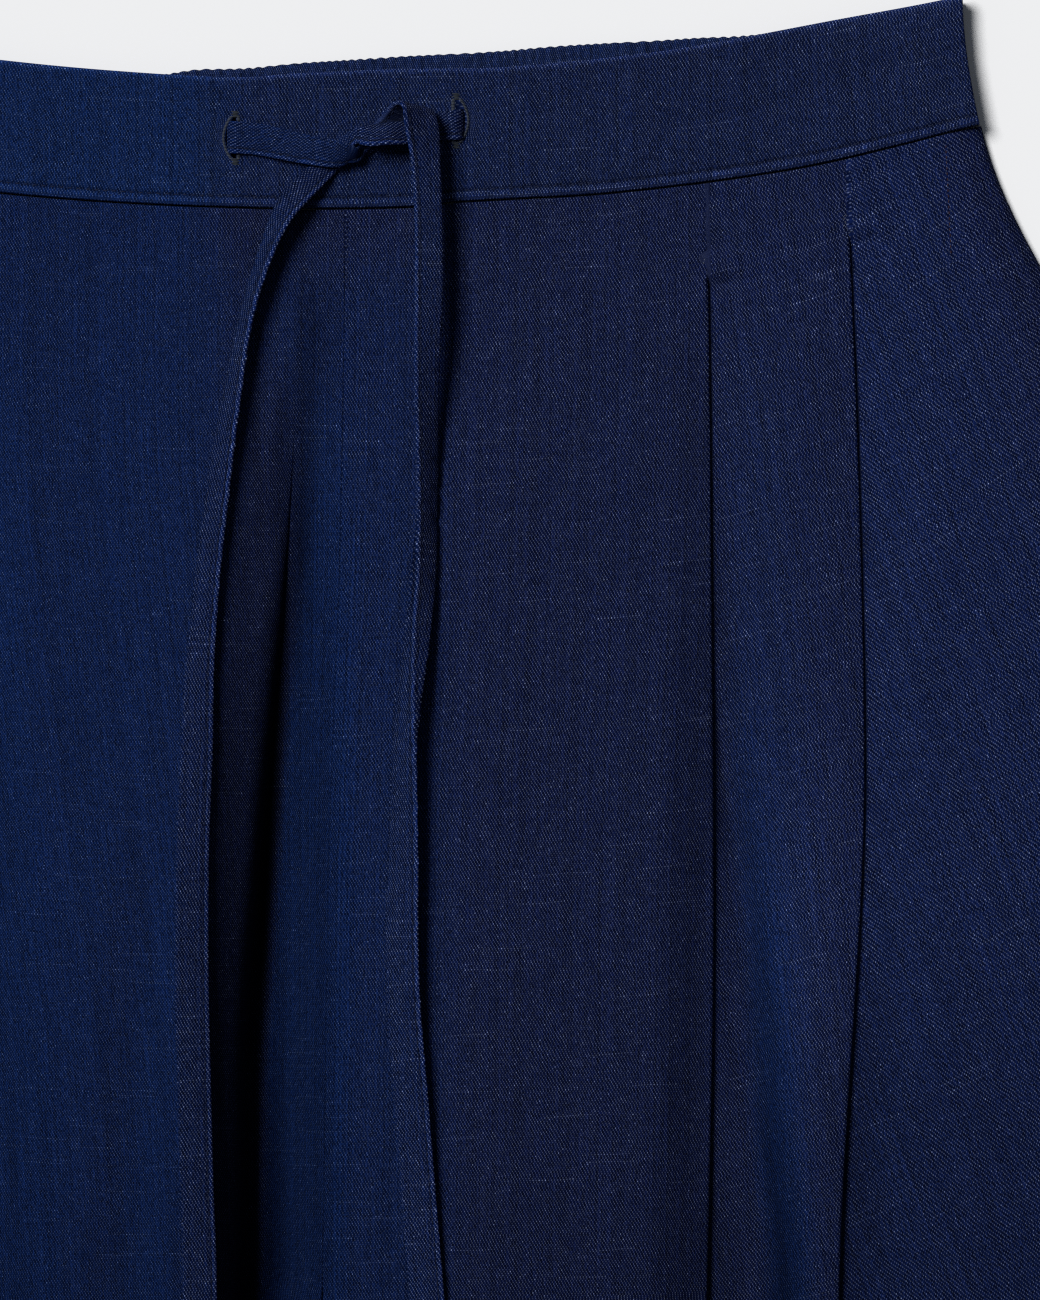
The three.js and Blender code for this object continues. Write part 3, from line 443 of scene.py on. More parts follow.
def cloth_wall(name, middle, flat, thickness, material, lean=0.5, tone_and_painted_light=0.0):
    """A closed cloth wall round a grid of middle points, rows down, points left to right: half of the
    thickness to each side, square to the cloth."""
    down, across = middle.shape[:2]
    normal = normals(middle)
    upper, lower = middle + normal * thickness / 2, middle - normal * thickness / 2
    n = down * across
    top = grid_quads(down, across)
    bottom = grid_quads(down, across, n)[:, ::-1]
    at = np.arange(n).reshape(down, across)
    rim = np.concatenate([at[:-1, 0], at[-1, :-1], at[:0:-1, -1], at[0, :0:-1]])
    beyond = np.roll(rim, -1)
    edge = np.stack([rim, rim + n, beyond + n, beyond], axis=1)
    points = np.concatenate([upper.reshape(-1, 3), lower.reshape(-1, 3)])
    return make_piece(
        name, points, np.concatenate([top, bottom, edge]), np.tile(flat.reshape(-1, 2), (2, 1)), material,
        *(np.tile(np.ravel(value + 0 * normal[..., 0]), 2) for value in (lean, tone_and_painted_light)))


def feed(tree, socket, value):
    """Fills a node's input with a value, or links it to another node's output."""
    if isinstance(value, bpy.types.NodeSocket):
        tree.links.new(value, socket)
    else:
        socket.default_value = value


def shader_node(tree, kind, settings=(), **inputs):
    """A node of that kind with its settings made and its inputs filled or linked. Underscores in an
    input's name stand for spaces."""
    node = tree.nodes.new(kind)
    for key, value in dict(settings).items():
        setattr(node, key, value)
    for key, value in inputs.items():
        feed(tree, node.inputs[key.replace("_", " ")], value)
    return node


def reckon(tree, operation, *values):
    """The result of a Math node on numbers or sockets."""
    node = tree.nodes.new("ShaderNodeMath")
    node.operation = operation
    for socket, value in zip(node.inputs, values):
        feed(tree, socket, value)
    return node.outputs[0]


WARP_PITCH, WEFT_PITCH = 0.31, 0.55  # from one thread to the next
REPEAT = 3.0  # threads in the weave's repeat: over two, under one
SLUBS = 0.985  # above this chance, a stretch of weft is a thick one


def twill(name, warps, wefts):
    """Cloth of a two-and-one twill. Thread numbers across and down come from the flat places; a weft
    thread shows as a pale dot where the two numbers differ by a multiple of three, so that the dots
    stand in steep lines, less evenly towards the sides. Each thread and each dot has its own shade, and
    here and there a thicker stretch of weft shows as a thin pale line. The colours are given for the
    cool and the warm lean, a tint that is partly painted light, and each point's tone and painted light and
    shade make the whole paler or darker."""
    material, tree, shader = matte(name, 0.85, 0.01)
    flat = shader_node(tree, "ShaderNodeUVMap", {"uv_map": "cloth"}).outputs[0]
    lean = shader_node(tree, "ShaderNodeAttribute", {"attribute_name": "lean"}).outputs["Fac"]

    def noise(scale, detail=2.0, x=1.0, y=1.0, shift=0.0):
        where = shader_node(
            tree, "ShaderNodeMapping", Vector=flat, Scale=(x, y, 1), Location=(shift, shift, 0))
        return shader_node(
            tree, "ShaderNodeTexNoise", {"noise_dimensions": "2D"},
            Vector=where.outputs[0], Scale=scale, Detail=detail).outputs[0]

    def chance(a, b):
        pair = shader_node(tree, "ShaderNodeCombineXYZ", X=a, Y=b).outputs[0]
        white = shader_node(tree, "ShaderNodeTexWhiteNoise", {"noise_dimensions": "2D"}, Vector=pair)
        return white.outputs[0]

    def leaned(pair):
        tint = shader_node(tree, "ShaderNodeMix", {"data_type": "RGBA"})
        tree.links.new(lean, tint.inputs["Factor"])
        tint.inputs[6].default_value = (*pair[1], 1)
        tint.inputs[7].default_value = (*pair[0], 1)
        return tint.outputs[2]

    def scaled(colour, by):
        node = shader_node(tree, "ShaderNodeVectorMath", {"operation": "SCALE"}, Scale=by)
        tree.links.new(colour, node.inputs[0])
        return node.outputs[0]

    def times(a, b):
        return reckon(tree, "MULTIPLY", a, b)

    def times_plus(a, b, c):
        return reckon(tree, "MULTIPLY_ADD", a, b, c)

    def floor(a):
        return reckon(tree, "FLOOR", a)

    def arch(a):
        return reckon(tree, "SINE", times(reckon(tree, "FRACT", a), np.pi))

    # Thread numbers: u counts warps across and v counts wefts down.
    across, down, _ = shader_node(tree, "ShaderNodeSeparateXYZ", Vector=flat).outputs
    v = times_plus(down, 1 / (WEFT_PITCH * MM), times(noise(60, shift=3.0), 2.4))
    loose = times_plus(reckon(tree, "ABSOLUTE", across), 12.0, -0.9)
    loose = reckon(tree, "MINIMUM", reckon(tree, "MAXIMUM", loose, 0.5), 1.1)
    wander = times_plus(noise(60), 3.6, times(chance(floor(v), 8.5), loose))
    u = times_plus(across, 1 / (WARP_PITCH * MM), wander)
    i, j = floor(u), floor(v)
    over_u, over_v = arch(u), reckon(tree, "POWER", arch(v), 1.5)

    # The weft: a dot where it lies on top, and a thin line along a thick stretch.
    step = reckon(tree, "FLOORED_MODULO", reckon(tree, "SUBTRACT", i, j), REPEAT)
    dot = times(reckon(tree, "LESS_THAN", step, 0.5), times(over_u, over_v))
    stretch = floor(times_plus(u, 0.022, times(chance(j, 4.5), 9.0)))
    slub = times(
        reckon(tree, "GREATER_THAN", chance(stretch, j), SLUBS), noise(1.0, x=60, y=1 / (WEFT_PITCH * MM)))
    fleck = chance(i, j)
    bright = times_plus(reckon(tree, "POWER", fleck, 40.0), 2.0, 0.6)
    even = times_plus(noise(1.0, x=140, y=0.6 / (WEFT_PITCH * MM), shift=7.0), 0.8, 0.6)
    blotch = noise(210, detail=4.0, shift=9.0)
    weft_light = times(times_plus(fleck, 0.8, bright), even)
    weft_light = times(weft_light, times_plus(blotch, 0.8, 0.6))
    weft_light = times(weft_light, times_plus(slub, 1.2, 1.0))
    weft_light = times_plus(times(slub, over_v), 0.1, times(weft_light, dot))

    # The warp: each thread has its own shade, which changes slowly down its length.
    streak = times_plus(noise(1.0, x=0.5 / (WARP_PITCH * MM), y=30, shift=5.0), 0.8, 0.6)
    warp_light = times(times_plus(chance(i, 0.5), 0.6, 0.7), times_plus(chance(j, i), 1.2, 0.4))
    warp_light = times(warp_light, streak)

    colour = shader_node(tree, "ShaderNodeVectorMath")
    tree.links.new(scaled(leaned(warps), warp_light), colour.inputs[0])
    tree.links.new(scaled(leaned(wefts), weft_light), colour.inputs[1])
    # The second attribute makes the colour paler or darker: partly the cloth's own tone, partly painted light
    # and shade.
    tone_and_painted_light = shader_node(tree, "ShaderNodeAttribute", {"attribute_name": "tone_and_painted_light"}).outputs["Fac"]
    toned_with_painted_light = scaled(colour.outputs[0], reckon(tree, "ADD", tone_and_painted_light, 1.0))
    relief = times_plus(blotch, 1.2, times_plus(dot, 0.5, times(over_u, 0.5)))
    bump = shader_node(tree, "ShaderNodeBump", Height=relief, Strength=0.5, Distance=0.1 * MM)
    tree.links.new(toned_with_painted_light, shader.inputs["Base Color"])
    tree.links.new(bump.outputs[0], shader.inputs["Normal"])
    return material


panel_cloth = twill(
    "panel_cloth", ((0.0019, 0.0083, 0.0450), (0.0023, 0.0047, 0.0264)),
    ((0.0335, 0.052, 0.108), (0.077, 0.094, 0.157)))


def stitch_places(surface, x, v, turn, long):
    """Five places along each stitch, centred on x and v on a surface and turned from across to down."""
    along = np.linspace(-0.5, 0.5, 5) * long
    turn = np.radians(turn)
    return surface(x[:, None] + along * np.cos(turn), v[:, None] + along * np.sin(turn))


def stitches(name, places, up, thick, thread):
    """Arched stitches from five places each: rings of six sides, sunk into the cloth at both ends."""
    along = places[:, -1] - places[:, 0]
    side = np.cross(up, along)
    side /= np.linalg.norm(side, axis=1, keepdims=True)
    arch = np.array([-0.7, 0.15, 0.4, 0.15, -0.7]) * thick
    girth = np.array([0.6, 0.9, 1, 0.9, 0.6]) * thick / 2
    angle = np.arange(6) * np.pi / 3
    up = np.broadcast_to(up, side.shape)
    ring = np.cos(angle)[:, None] * side[:, None] + np.sin(angle)[:, None] * up[:, None]
    points = (places + arch[:, None] * up[:, None])[:, :, None] + girth[:, None, None] * ring[:, None]
    caps = np.array([[3, 2, 1, 0], [5, 4, 3, 0], [24, 25, 26, 27], [24, 27, 28, 29]])
    one = np.concatenate([tube_quads(5, 6), caps])
    quads = (one + 30 * np.arange(len(places))[:, None, None]).reshape(-1, 4)
    row = make_piece(name, points.reshape(-1, 3), quads, np.zeros((points.size // 3, 2)), thread)
    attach(row, "root")
    return row


def sewing_thread(name, colour):
    """Matt spun thread of one colour."""
    material, tree, shader = matte(name, 0.7, 0.1)
    where = shader_node(tree, "ShaderNodeTexCoord").outputs["Object"]
    fibres = shader_node(tree, "ShaderNodeTexNoise", Vector=where, Scale=4000.0).outputs[0]
    colours = shader_node(tree, "ShaderNodeVectorMath", {"operation": "SCALE"}, Vector=colour)
    tree.links.new(reckon(tree, "MULTIPLY_ADD", fibres, 1.2, 0.4), colours.inputs["Scale"])
    tree.links.new(colours.outputs[0], shader.inputs["Base Color"])
    return material


navy_thread = sewing_thread("navy_thread", (0.008, 0.012, 0.034))
pale_thread = sewing_thread("pale_thread", (0.09, 0.10, 0.13))
brown_thread = sewing_thread("brown_thread", (0.032, 0.017, 0.022))

FRONT_LEVELS = np.concatenate([
    np.linspace(PANEL_TOP, 76, 30), np.linspace(78.6, 372, 112), [377.6],
    np.linspace(384, LENGTH, 62)])[:, None]
GRAIN_TURNS = np.array([0, 8, 20])  # degrees that the threads rise outwards, past no pleat, one and two
GRAIN_PIVOT = (110, BAND)
GRAIN_STRAIGHT = {"from": 420, "over": 300}  # the levels over which they turn back upright
COOL = np.array([0.12, 0.18, 0.32])  # how cool the cloth looks past no pleat, one and two
SLOPE_REACHES = (2, 5, 8)  # the slope is a mean over these distances to both sides
# Painted light: the slope's share of the tint stands in for the lamp, cool where the cloth faces it.
LEAN = 0.9  # a slope this steep to the left shows the cool side of the cloth's colour only
OPENNESS = np.array([0.98, 1.0, 1.09])  # how far apart the threads lie, past no pleat, one and two
LEFT_OPENNESS = 0.93  # and on the left front, by comparison
PALER_BY_REGION = np.array([0.0, 0.06, 0.15])  # how much paler the cloth is there, and below how much at each level
# Painted shade: the steeper a slope, the darker the cloth is painted there.
SLOPE_PAINTED_SHADE = 0.3  # how much darker the cloth is on its steepest slopes
PALER_BY_LEVEL = rows(
    "v paler", (40, 0.02), (100, 0), (170, -0.03), (240, -0.05), (300, -0.13), (380, -0.24), (600, -0.14))
# Painted light: the crest beside the second pleat is painted paler where it faces the lamp.
CREST_PAINTED_LIGHT = {"x": 137, "v": 258, "across": 13, "down": 52, "paler": 0.26}  # beside the second pleat
# Painted shade: a dark line is painted along the hollow between the two pleats.
HOLLOW_PAINTED_SHADE = rows("v darker", (180, 0), (230, 0.12), (300, 0.16), (370, 0.3))
HOLLOW_CENTRE, HOLLOW_HALF = 1.5, 5.0  # of the dark line, past the hollow's own line, and its half width
# Painted shadow: the strip just past the first pleat's fold edge is painted darker, where the edge shades it.
FIRST_PLEAT_PAINTED_SHADOW = rows(
    "v darker x across", (120, 0, 108, 4), (150, 0.2, 110, 5), (215, 0.1, 113, 5), (260, 0, 113, 5),
    (310, 0.04, 111, 5), (350, 0.3, 110, 6), (400, 0.2, 112, 8), (640, 0, 120, 8))
# Painted shadow: the cloth just past the second pleat's fold edge is painted darker, lower down the leg.
SECOND_PLEAT_PAINTED_SHADOW = {"x": 5.0, "across": 9.0, "darker": 0.26}
PAST_PLEATS_DARKER, LEFT_DARKER = 0.1, 0.06
# Painted shade: the valley between the legs is painted darker along its floor, just right of its left edge.
VALLEY_PAINTED_SHADE = rows(
    "v darker", (54, 0), (70, 0.3), (111, 0.4), (140, 0.6), (199, 0.58), (243, 0.52), (320, 0.2))
VALLEY_CENTRE, VALLEY_HALF = 3.2, 5.0
# Painted light: the crest right of the valley is painted paler, standing in for light on its slope.
VALLEY_CREST_PAINTED_LIGHT = rows("v paler", (140, 0), (190, 0.08), (240, 0.1), (360, 0.14), (640, 0))
VALLEY_CREST_X, VALLEY_CREST_HALF = -12.0, 4.5
UP = np.array([0.0, 0.0, 1.0])
HEM_SPACING, HEM_STITCH = 3.2, 2.2  # from one stitch to the next, and the length of each
HEM_LINE = LENGTH - HEM + 2  # level of the row of stitches that holds the hem
SEAM_STITCHES = 42.6 + 1.46 * np.arange(14)  # levels of the stitches that show beside the centre seam
PLEAT_STITCHES = (63 + 0.95 * np.arange(2), 57 + 0.95 * np.arange(4))  # and at the end of each pleat
SIDE_STITCHES = np.arange(44, 76, 1.6)  # and, in brown thread, near the side


def hem_places(surface, hand, from_inseam, from_side):
    """Places along a leg's hem stitches, which stop that far short of the inseam and the side."""
    start, stop = column(INSEAM, "right", LENGTH) + from_inseam, column(SIDE, "half", LENGTH) - from_side
    x = hand * np.arange(start, stop, HEM_SPACING)
    return stitch_places(surface, x, 0 * x + HEM_LINE, 0, HEM_STITCH)


def cool_middle(x, v):
    """How much cooler the cloth looks on the left leg and, below the waist, to the right as far as the
    crown of the right leg."""
    lower = smoothstep((v - 36) / 36)
    far_left = smoothstep((-25 - x) / 25)
    return (0.4 + 0.15 * far_left) * (1 - smoothstep((x - 16) / 26)) * mix(far_left, 1, lower)


for name, hand in (("left", -1), ("right", 1)):
    out, drop, passed = front_lines(FRONT_LEVELS, hand)
    x = hand * out
    v = FRONT_LEVELS + 0 * x
    middle = place(x, v, front_relief(x, v, hand) - drop)
    length = np.linalg.norm(np.diff(middle[:, :, ::2], axis=1), axis=-1)
    u = np.concatenate([0 * v[:, :1], np.cumsum(length, axis=1)], axis=1)
    for pleat_end in np.flatnonzero(np.diff(passed)) + 2:
        u[:, pleat_end:] += out[:, pleat_end:pleat_end + 1] + 40 - u[:, pleat_end:pleat_end + 1]
    # The tint is partly painted light: where the cloth rises to the right it faces the lamp and is painted in
    # the cool colour, where it falls it takes the warm one. The share set by region, past the pleats and on
    # the left leg, is a tone given by place.
    slope = sum(
        front_height(x + reach, v, hand) - front_height(x - reach, v, hand)
        for reach in SLOPE_REACHES) / (2 * sum(SLOPE_REACHES))
    lean = smoothstep(COOL[passed] + cool_middle(x, v) + slope / LEAN)
    lower = smoothstep((v - 250) / 60) * (passed == 2)
    # painted light on the crest beside the second pleat
    crest = CREST_PAINTED_LIGHT["paler"] * bell(v - CREST_PAINTED_LIGHT["v"], CREST_PAINTED_LIGHT["down"])
    marks = (  # how much paler the cloth is, how far off the mark's middle, and its half width
        # painted shade in the valley
        (-column(VALLEY_PAINTED_SHADE, "darker", v), x - column(VALLEY, "left", v) - VALLEY_CENTRE, VALLEY_HALF),
        # painted light on the crest right of the valley
        (column(VALLEY_CREST_PAINTED_LIGHT, "paler", v), x - VALLEY_CREST_X, VALLEY_CREST_HALF),
        (crest, out - CREST_PAINTED_LIGHT["x"], CREST_PAINTED_LIGHT["across"]),
        # painted shade along the hollow
        (-column(HOLLOW_PAINTED_SHADE, "darker", v), out - column(HOLLOW, "x", v) - HOLLOW_CENTRE, HOLLOW_HALF),
        # painted shadow past the first pleat's fold edge
        (-column(FIRST_PLEAT_PAINTED_SHADOW, "darker", v), out - column(FIRST_PLEAT_PAINTED_SHADOW, "x", v),
         column(FIRST_PLEAT_PAINTED_SHADOW, "across", v)),
        # painted shadow past the second pleat's fold edge
        (-SECOND_PLEAT_PAINTED_SHADOW["darker"] * lower, out - column(PLEATS[1], "x", v) - SECOND_PLEAT_PAINTED_SHADOW["x"],
         SECOND_PLEAT_PAINTED_SHADOW["across"]),
    )
    # The cloth's tone by region and by level, with the painted light and shade of the marks and the slopes on
    # top.
    tone_and_painted_light = PALER_BY_REGION[passed] + column(PALER_BY_LEVEL, "paler", v)
    tone_and_painted_light = tone_and_painted_light + sum(paler * bell(off, half) for paler, off, half in marks)
    # Painted shade on the steep slopes.
    tone_and_painted_light = tone_and_painted_light - SLOPE_PAINTED_SHADE * smoothstep((np.abs(slope) - 0.1) / 0.8)
    tone_and_painted_light = tone_and_painted_light - PAST_PLEATS_DARKER * smoothstep((v - 250) / 80) * (passed == 2) - LEFT_DARKER * (hand < 0)
    straight = smoothstep((v - GRAIN_STRAIGHT["from"]) / GRAIN_STRAIGHT["over"])
    turn = np.radians(GRAIN_TURNS[passed]) * (1 - straight)
    open_by = OPENNESS[passed] * (1 if hand > 0 else LEFT_OPENNESS)
    u_off, v_off = (u - GRAIN_PIVOT[0]) / open_by, (v - GRAIN_PIVOT[1]) / open_by
    flat = np.stack([
        hand * (GRAIN_PIVOT[0] + u_off * np.cos(turn) - v_off * np.sin(turn)),
        GRAIN_PIVOT[1] + v_off * np.cos(turn) + u_off * np.sin(turn)], axis=-1)
    middle, flat, lean, tone_and_painted_light = (grid[:, ::hand] for grid in (middle, flat, lean, tone_and_painted_light))  # left to right
    panel = cloth_wall(f"front_{name}_cloth", middle, flat, CLOTH, panel_cloth, lean, tone_and_painted_light)
    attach(panel, "root")
    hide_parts(f"front_{name}")

    def top_face(x, v):
        return place(x, v, front_relief(x, v, hand) + CLOTH / 2)

    def down_rows(xs, vs, long):
        return stitch_places(top_face, xs, vs, 90, long)

    # Rows of stitches: name, places, thickness and thread.
    seam_x = column(CENTRE_SEAM, "x", SEAM_STITCHES) + hand * 0.55
    sewn = [
        ("hem", hem_places(top_face, hand, 24, 30), 0.4, navy_thread),
        ("seam", down_rows(seam_x, SEAM_STITCHES, 0.9), 0.28, navy_thread)]
    for pleat, back_v in zip(PLEATS, PLEAT_STITCHES):
        back_x = hand * (column(pleat, "x", back_v) - 0.7 - 0.3 * (np.arange(len(back_v)) % 2))
        sewn.append(("pleat", down_rows(back_x, back_v, 0.6), 0.26, pale_thread))
    side_x = hand * (177 + (SIDE_STITCHES - 43) / 21)
    sewn.append(("side", down_rows(side_x, SIDE_STITCHES, 1.1), 0.34, brown_thread))
    sewing = [
        stitches(f"front_{name}_{key}_stitches_{number}", places, UP, thick, thread)
        for number, (key, places, thick, thread) in enumerate(sewn)]

# ---- Back panels ---------------------------------------------------------------------------------
# Two plain backs of the same twill, cut to the fronts' outline. They lie flat on the table under the
# fronts and are sewn to them at the side seams and inseams.

BACK_HEIGHT = 0.5  # of the middle surface
BACK_OVERHANG = 0.6  # how far its edge goes past the front's at the inseam and the side
BACK_LEVELS = np.concatenate([
    np.linspace(PANEL_TOP, 372, 60), [377.6], np.linspace(384, LENGTH, 60)])[:, None]


def under_face(x, v):
    return place(x, v, BACK_HEIGHT - CLOTH / 2 - 0.1 + 0 * x)


for name, hand in (("left", -1), ("right", 1)):
    leg = column(INSEAM, "right" if hand > 0 else "left", BACK_LEVELS) - hand * BACK_OVERHANG
    inner = np.where(BACK_LEVELS < CROTCH, seam_edge(BACK_LEVELS, hand), leg)
    x = inner + (hand * (column(SIDE, "half", BACK_LEVELS) + BACK_OVERHANG) - inner) * np.linspace(0, 1, 60)
    v = BACK_LEVELS + 0 * x
    middle = place(x, v, BACK_HEIGHT + 0.1 * uneven(x, v, 40, 8))
    flat = np.stack([x, v], axis=-1)
    back = cloth_wall(f"back_{name}_cloth", middle[:, ::hand], flat[:, ::hand], CLOTH, panel_cloth)
    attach(back, "root")
    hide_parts(f"back_{name}")
    places = hem_places(under_face, hand, 4, 4)
    row = stitches(f"back_{name}_hem_stitches", places, -UP, 0.4, navy_thread)

# ---- Front waistband -----------------------------------------------------------------------------
# One plain band of the same twill, folded along its top edge. Its turnings are pressed up inside and
# held by a row of topstitching just above the seam, so that a narrow cord-like ridge runs along it.

BAND_FLOOR, BAND_CEILING = 4.9, 7.3
BAND_EDGE = 1.1  # radius of the folded edges
RIDGE = 3.3  # height of the stitched ridge
STITCH = 2.6
HOLES = (  # where a buttonhole's straight side is, the level of its middle, and the side it bulges to
    {"x": -32.4, "v": 18.75, "side": -1},
    {"x": 32.7, "v": 15.8, "side": 1},
)
HOLE_LENGTH, HOLE_BULGE = 13.4, 2.8
SLOT_HALF = 0.2  # half width of the slit before one lip is pushed open
FINE_FROM = 34.4  # the face's points lie closer together from here down to the seam
FLARE_FROM = 100.0
BAND_CREASES = rows(
    "x s long wide height turn",
    (-42, 21.8, 7, 0.5, -0.22, 0), (146, 3.6, 36, 3.6, -0.6, 14.6), (104, 13, 34, 3.6, -0.34, 6),
    (174, -12.4, 9, 1.6, -0.35, 12), (88, 23, 20, 3, 0.25, 4), (20, 12, 30, 4, -0.2, 2),
    (-52, 12, 14, 2, -0.2, -4), (4, 34, 30, 1.6, -0.2, 2))

band_xs = np.sort(np.concatenate([
    np.linspace(-WAIST_HALF, WAIST_HALF, 481),
    [hole["x"] + side * SLOT_HALF for hole in HOLES for side in (-1, 1)]]))
face_vs = np.concatenate([
    np.linspace(BAND_EDGE, FINE_FROM, 54)[:-1], np.linspace(FINE_FROM, BAND - BAND_EDGE, 16)])
turn = np.linspace(0, np.pi, 9)[1:-1]
low = turn[3:][::-1]
profile_v = np.concatenate([
    BAND - BAND_EDGE * (1 - np.sin(low)), face_vs[::-1], BAND_EDGE * (1 - np.sin(turn)), face_vs,
    BAND - BAND_EDGE * (1 - np.sin(low[::-1]))])
profile_z = np.concatenate([-np.cos(low), face_vs * 0 + 1, np.cos(turn), face_vs * 0 - 1, np.cos(low[::-1])])


def behind_lip(hole, x, v):
    """How far x is from a buttonhole's straight side on the side it bulges to, and how open it is at v."""
    t = np.clip((v - hole["v"]) / HOLE_LENGTH + 0.5, 0, 1)
    return (x - hole["x"]) * hole["side"], np.sin(np.pi * t) ** 0.8


def band_relief(x, v):
    """Relief of the band's face: the ridge along the seam, twisted like a rope towards the side, the dents
    of the topstitching above it, the buttonholes' raised lips, and the cloth's own unevenness."""
    in_ridge = smoothstep((v - (BAND - RIDGE)) / 0.9)
    strand = np.cos(np.pi * (x + 1.1 * (v - BAND)) / 2.7) ** 2
    rope = mix(0.1, 0.34, smoothstep((x - 80) / 40)) * (strand - 0.5)
    dent = bell(v - (BAND - RIDGE), 0.5) * (0.34 - 0.16 * np.cos(2 * np.pi * x / STITCH))
    lips = 0 * x
    for hole in HOLES:
        behind, opened = behind_lip(hole, x, v)
        lips = lips + 0.4 * bell(np.abs(behind) - 0.7, 0.8) * (opened > 0)
    soft = creased(BAND_CREASES, x, v - bow(x, v))
    soft = soft + 0.14 * uneven(x, v, 30, 11) + 0.05 * uneven(x, v, 8, 12)
    return in_ridge * (0.35 + rope) - dent + lips + soft


def hole_spread(x, v):
    """The cloth's places round the buttonholes, whose one lip is pushed open in a bow."""
    shift = 0 * x
    for hole in HOLES:
        behind, opened = behind_lip(hole, x, v)
        shift = shift + hole["side"] * HOLE_BULGE * opened * bell(behind, 4) * (behind > 0)
    return x + shift


def flared(x, v):
    """x on a band that is cut straight, moved out to the panels' outline near the sides."""
    wider = column(SIDE, "half", v) - WAIST_HALF
    return x + np.sign(x) * wider * smoothstep((np.abs(x) - FLARE_FROM) / (WAIST_HALF - FLARE_FROM))


def band_face(x, v):
    """A point on the front band's face."""
    return place(flared(hole_spread(x, v), v), v, BAND_CEILING + band_relief(x, v))


def loop_ends(at):
    """Quads that close a band of points, rows round it and points along it: the strip from the last row
    back to the first, and the two flat ends."""
    half = len(at) // 2
    closing = np.stack([at[-1, :-1], at[0, :-1], at[0, 1:], at[-1, 1:]], axis=1)[:, ::-1]
    end = np.stack([at[:half - 1], at[1:half], at[-2:-half - 1:-1], at[-1:-half:-1]], axis=1)
    return [closing, end[..., 0], end[..., -1][:, ::-1]]


x, v = np.meshgrid(band_xs, profile_v)
side = profile_z[:, None]
z = (BAND_FLOOR + BAND_CEILING) / 2 + side * (BAND_CEILING - BAND_FLOOR) / 2
z = z + np.clip(side, 0, 1) * band_relief(x, v)
points = place(flared(hole_spread(x, v), v), v, z)
around, along = x.shape
quads = grid_quads(around, along)[:, ::-1]
row = np.repeat(np.arange(around - 1), along - 1)
cell = np.tile(np.arange(along - 1), around - 1)
at = np.arange(around * along).reshape(around, along)
parts = loop_ends(at)
gone = np.zeros(len(quads), bool)
for hole in HOLES:
    c = int(np.argmin(np.abs(band_xs - hole["x"] + SLOT_HALF)))
    inside = np.abs(profile_v - hole["v"]) < HOLE_LENGTH / 2
    f = np.flatnonzero(inside & (profile_z == 1))
    r = np.flatnonzero(inside & (profile_z == -1))[::-1]
    gone |= (cell == c) & (np.isin(row, f[:-1]) | np.isin(row, r[1:]))
    parts.append(np.stack([at[f[:-1], c], at[f[1:], c], at[r[1:], c], at[r[:-1], c]], axis=1))
    parts.append(np.stack([at[r[:-1], c + 1], at[r[1:], c + 1], at[f[1:], c + 1], at[f[:-1], c + 1]], axis=1))
    parts.append(np.array([[at[f[0], c], at[r[0], c], at[r[0], c + 1], at[f[0], c + 1]]]))
    parts.append(np.array([[at[f[-1], c], at[f[-1], c + 1], at[r[-1], c + 1], at[r[-1], c]]]))
band_cloth = twill(
    "band_cloth", ((0.0019, 0.0083, 0.0425), (0.0023, 0.0047, 0.0250)),
    ((0.0345, 0.054, 0.107), (0.080, 0.098, 0.157)))
cool = 0.35 + 0.6 * smoothstep((-22 - x) / 30) - 0.15 * smoothstep((x - 20) / 60)
# Paler and darker on the band: a tone that changes across it, paler towards the right at the top, painted
# highlight along the folded top edge and the ridge's crest, painted shade in the dents of the topstitching,
# and paler spots on the ridge over the pleats.
toned_with_painted_light = 0.06 + 0.04 * smoothstep((x - 90) / 40) + 0.12 * smoothstep((-30 - x) / 30)
toned_with_painted_light = toned_with_painted_light + 0.3 * smoothstep((x - 130) / 40) * bell(v, 6)
toned_with_painted_light = toned_with_painted_light + 0.9 * bell(v, 1.1) + 0.45 * bell(v - (BAND - 1.7), 0.9)
toned_with_painted_light = toned_with_painted_light - 0.45 * bell(v - (BAND - RIDGE), 0.5)
for ridge_spot_x in (109, 112, 146, 150):
    toned_with_painted_light = toned_with_painted_light + 0.8 * bell(x - ridge_spot_x, 2.2) * bell(v - (BAND - 1.9), 0.8)
front_band = make_piece(
    "waistband_front_cloth", points.reshape(-1, 3), np.concatenate([quads[~gone], *parts]),
    np.stack([x, v * np.where(side < 0, -1, 1)], axis=-1).reshape(-1, 2), band_cloth, cool, toned_with_painted_light)
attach(front_band, "root")
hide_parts("waistband_front")

row_x = np.arange(-WAIST_HALF + 2, WAIST_HALF - 2, STITCH)
band_rows = [("edge", stitch_places(band_face, row_x, 0 * row_x + BAND - RIDGE, 0, 1.8), 0.36, navy_thread)]
hole_thread = sewing_thread("buttonhole_thread", (0.046, 0.054, 0.070))
tack_thread = sewing_thread("tack_thread", (0.024, 0.029, 0.037))
for hole in HOLES:
    # Fine whipping down both lips, and a bar of close stitches across each end.
    whip_v = hole["v"] + np.tile(np.arange(-6.4, 6.5, 0.44), 2)
    whip_x = hole["x"] + hole["side"] * np.repeat([0.95, -0.95], len(whip_v) // 2)
    tack_v = hole["v"] + np.array([-8.1, -7.7, -7.3, -6.9, -6.5, 6.5, 6.9, 7.3, 7.7, 8.1])
    tack_x = hole["x"] + 0.25 * np.tile([-1, 1], 5)
    band_rows.append(("whip", stitch_places(band_face, whip_x, whip_v, 0, 1.4), 0.36, hole_thread))
    band_rows.append(("tack", stitch_places(band_face, tack_x, tack_v, 0, 2.6), 0.42, tack_thread))
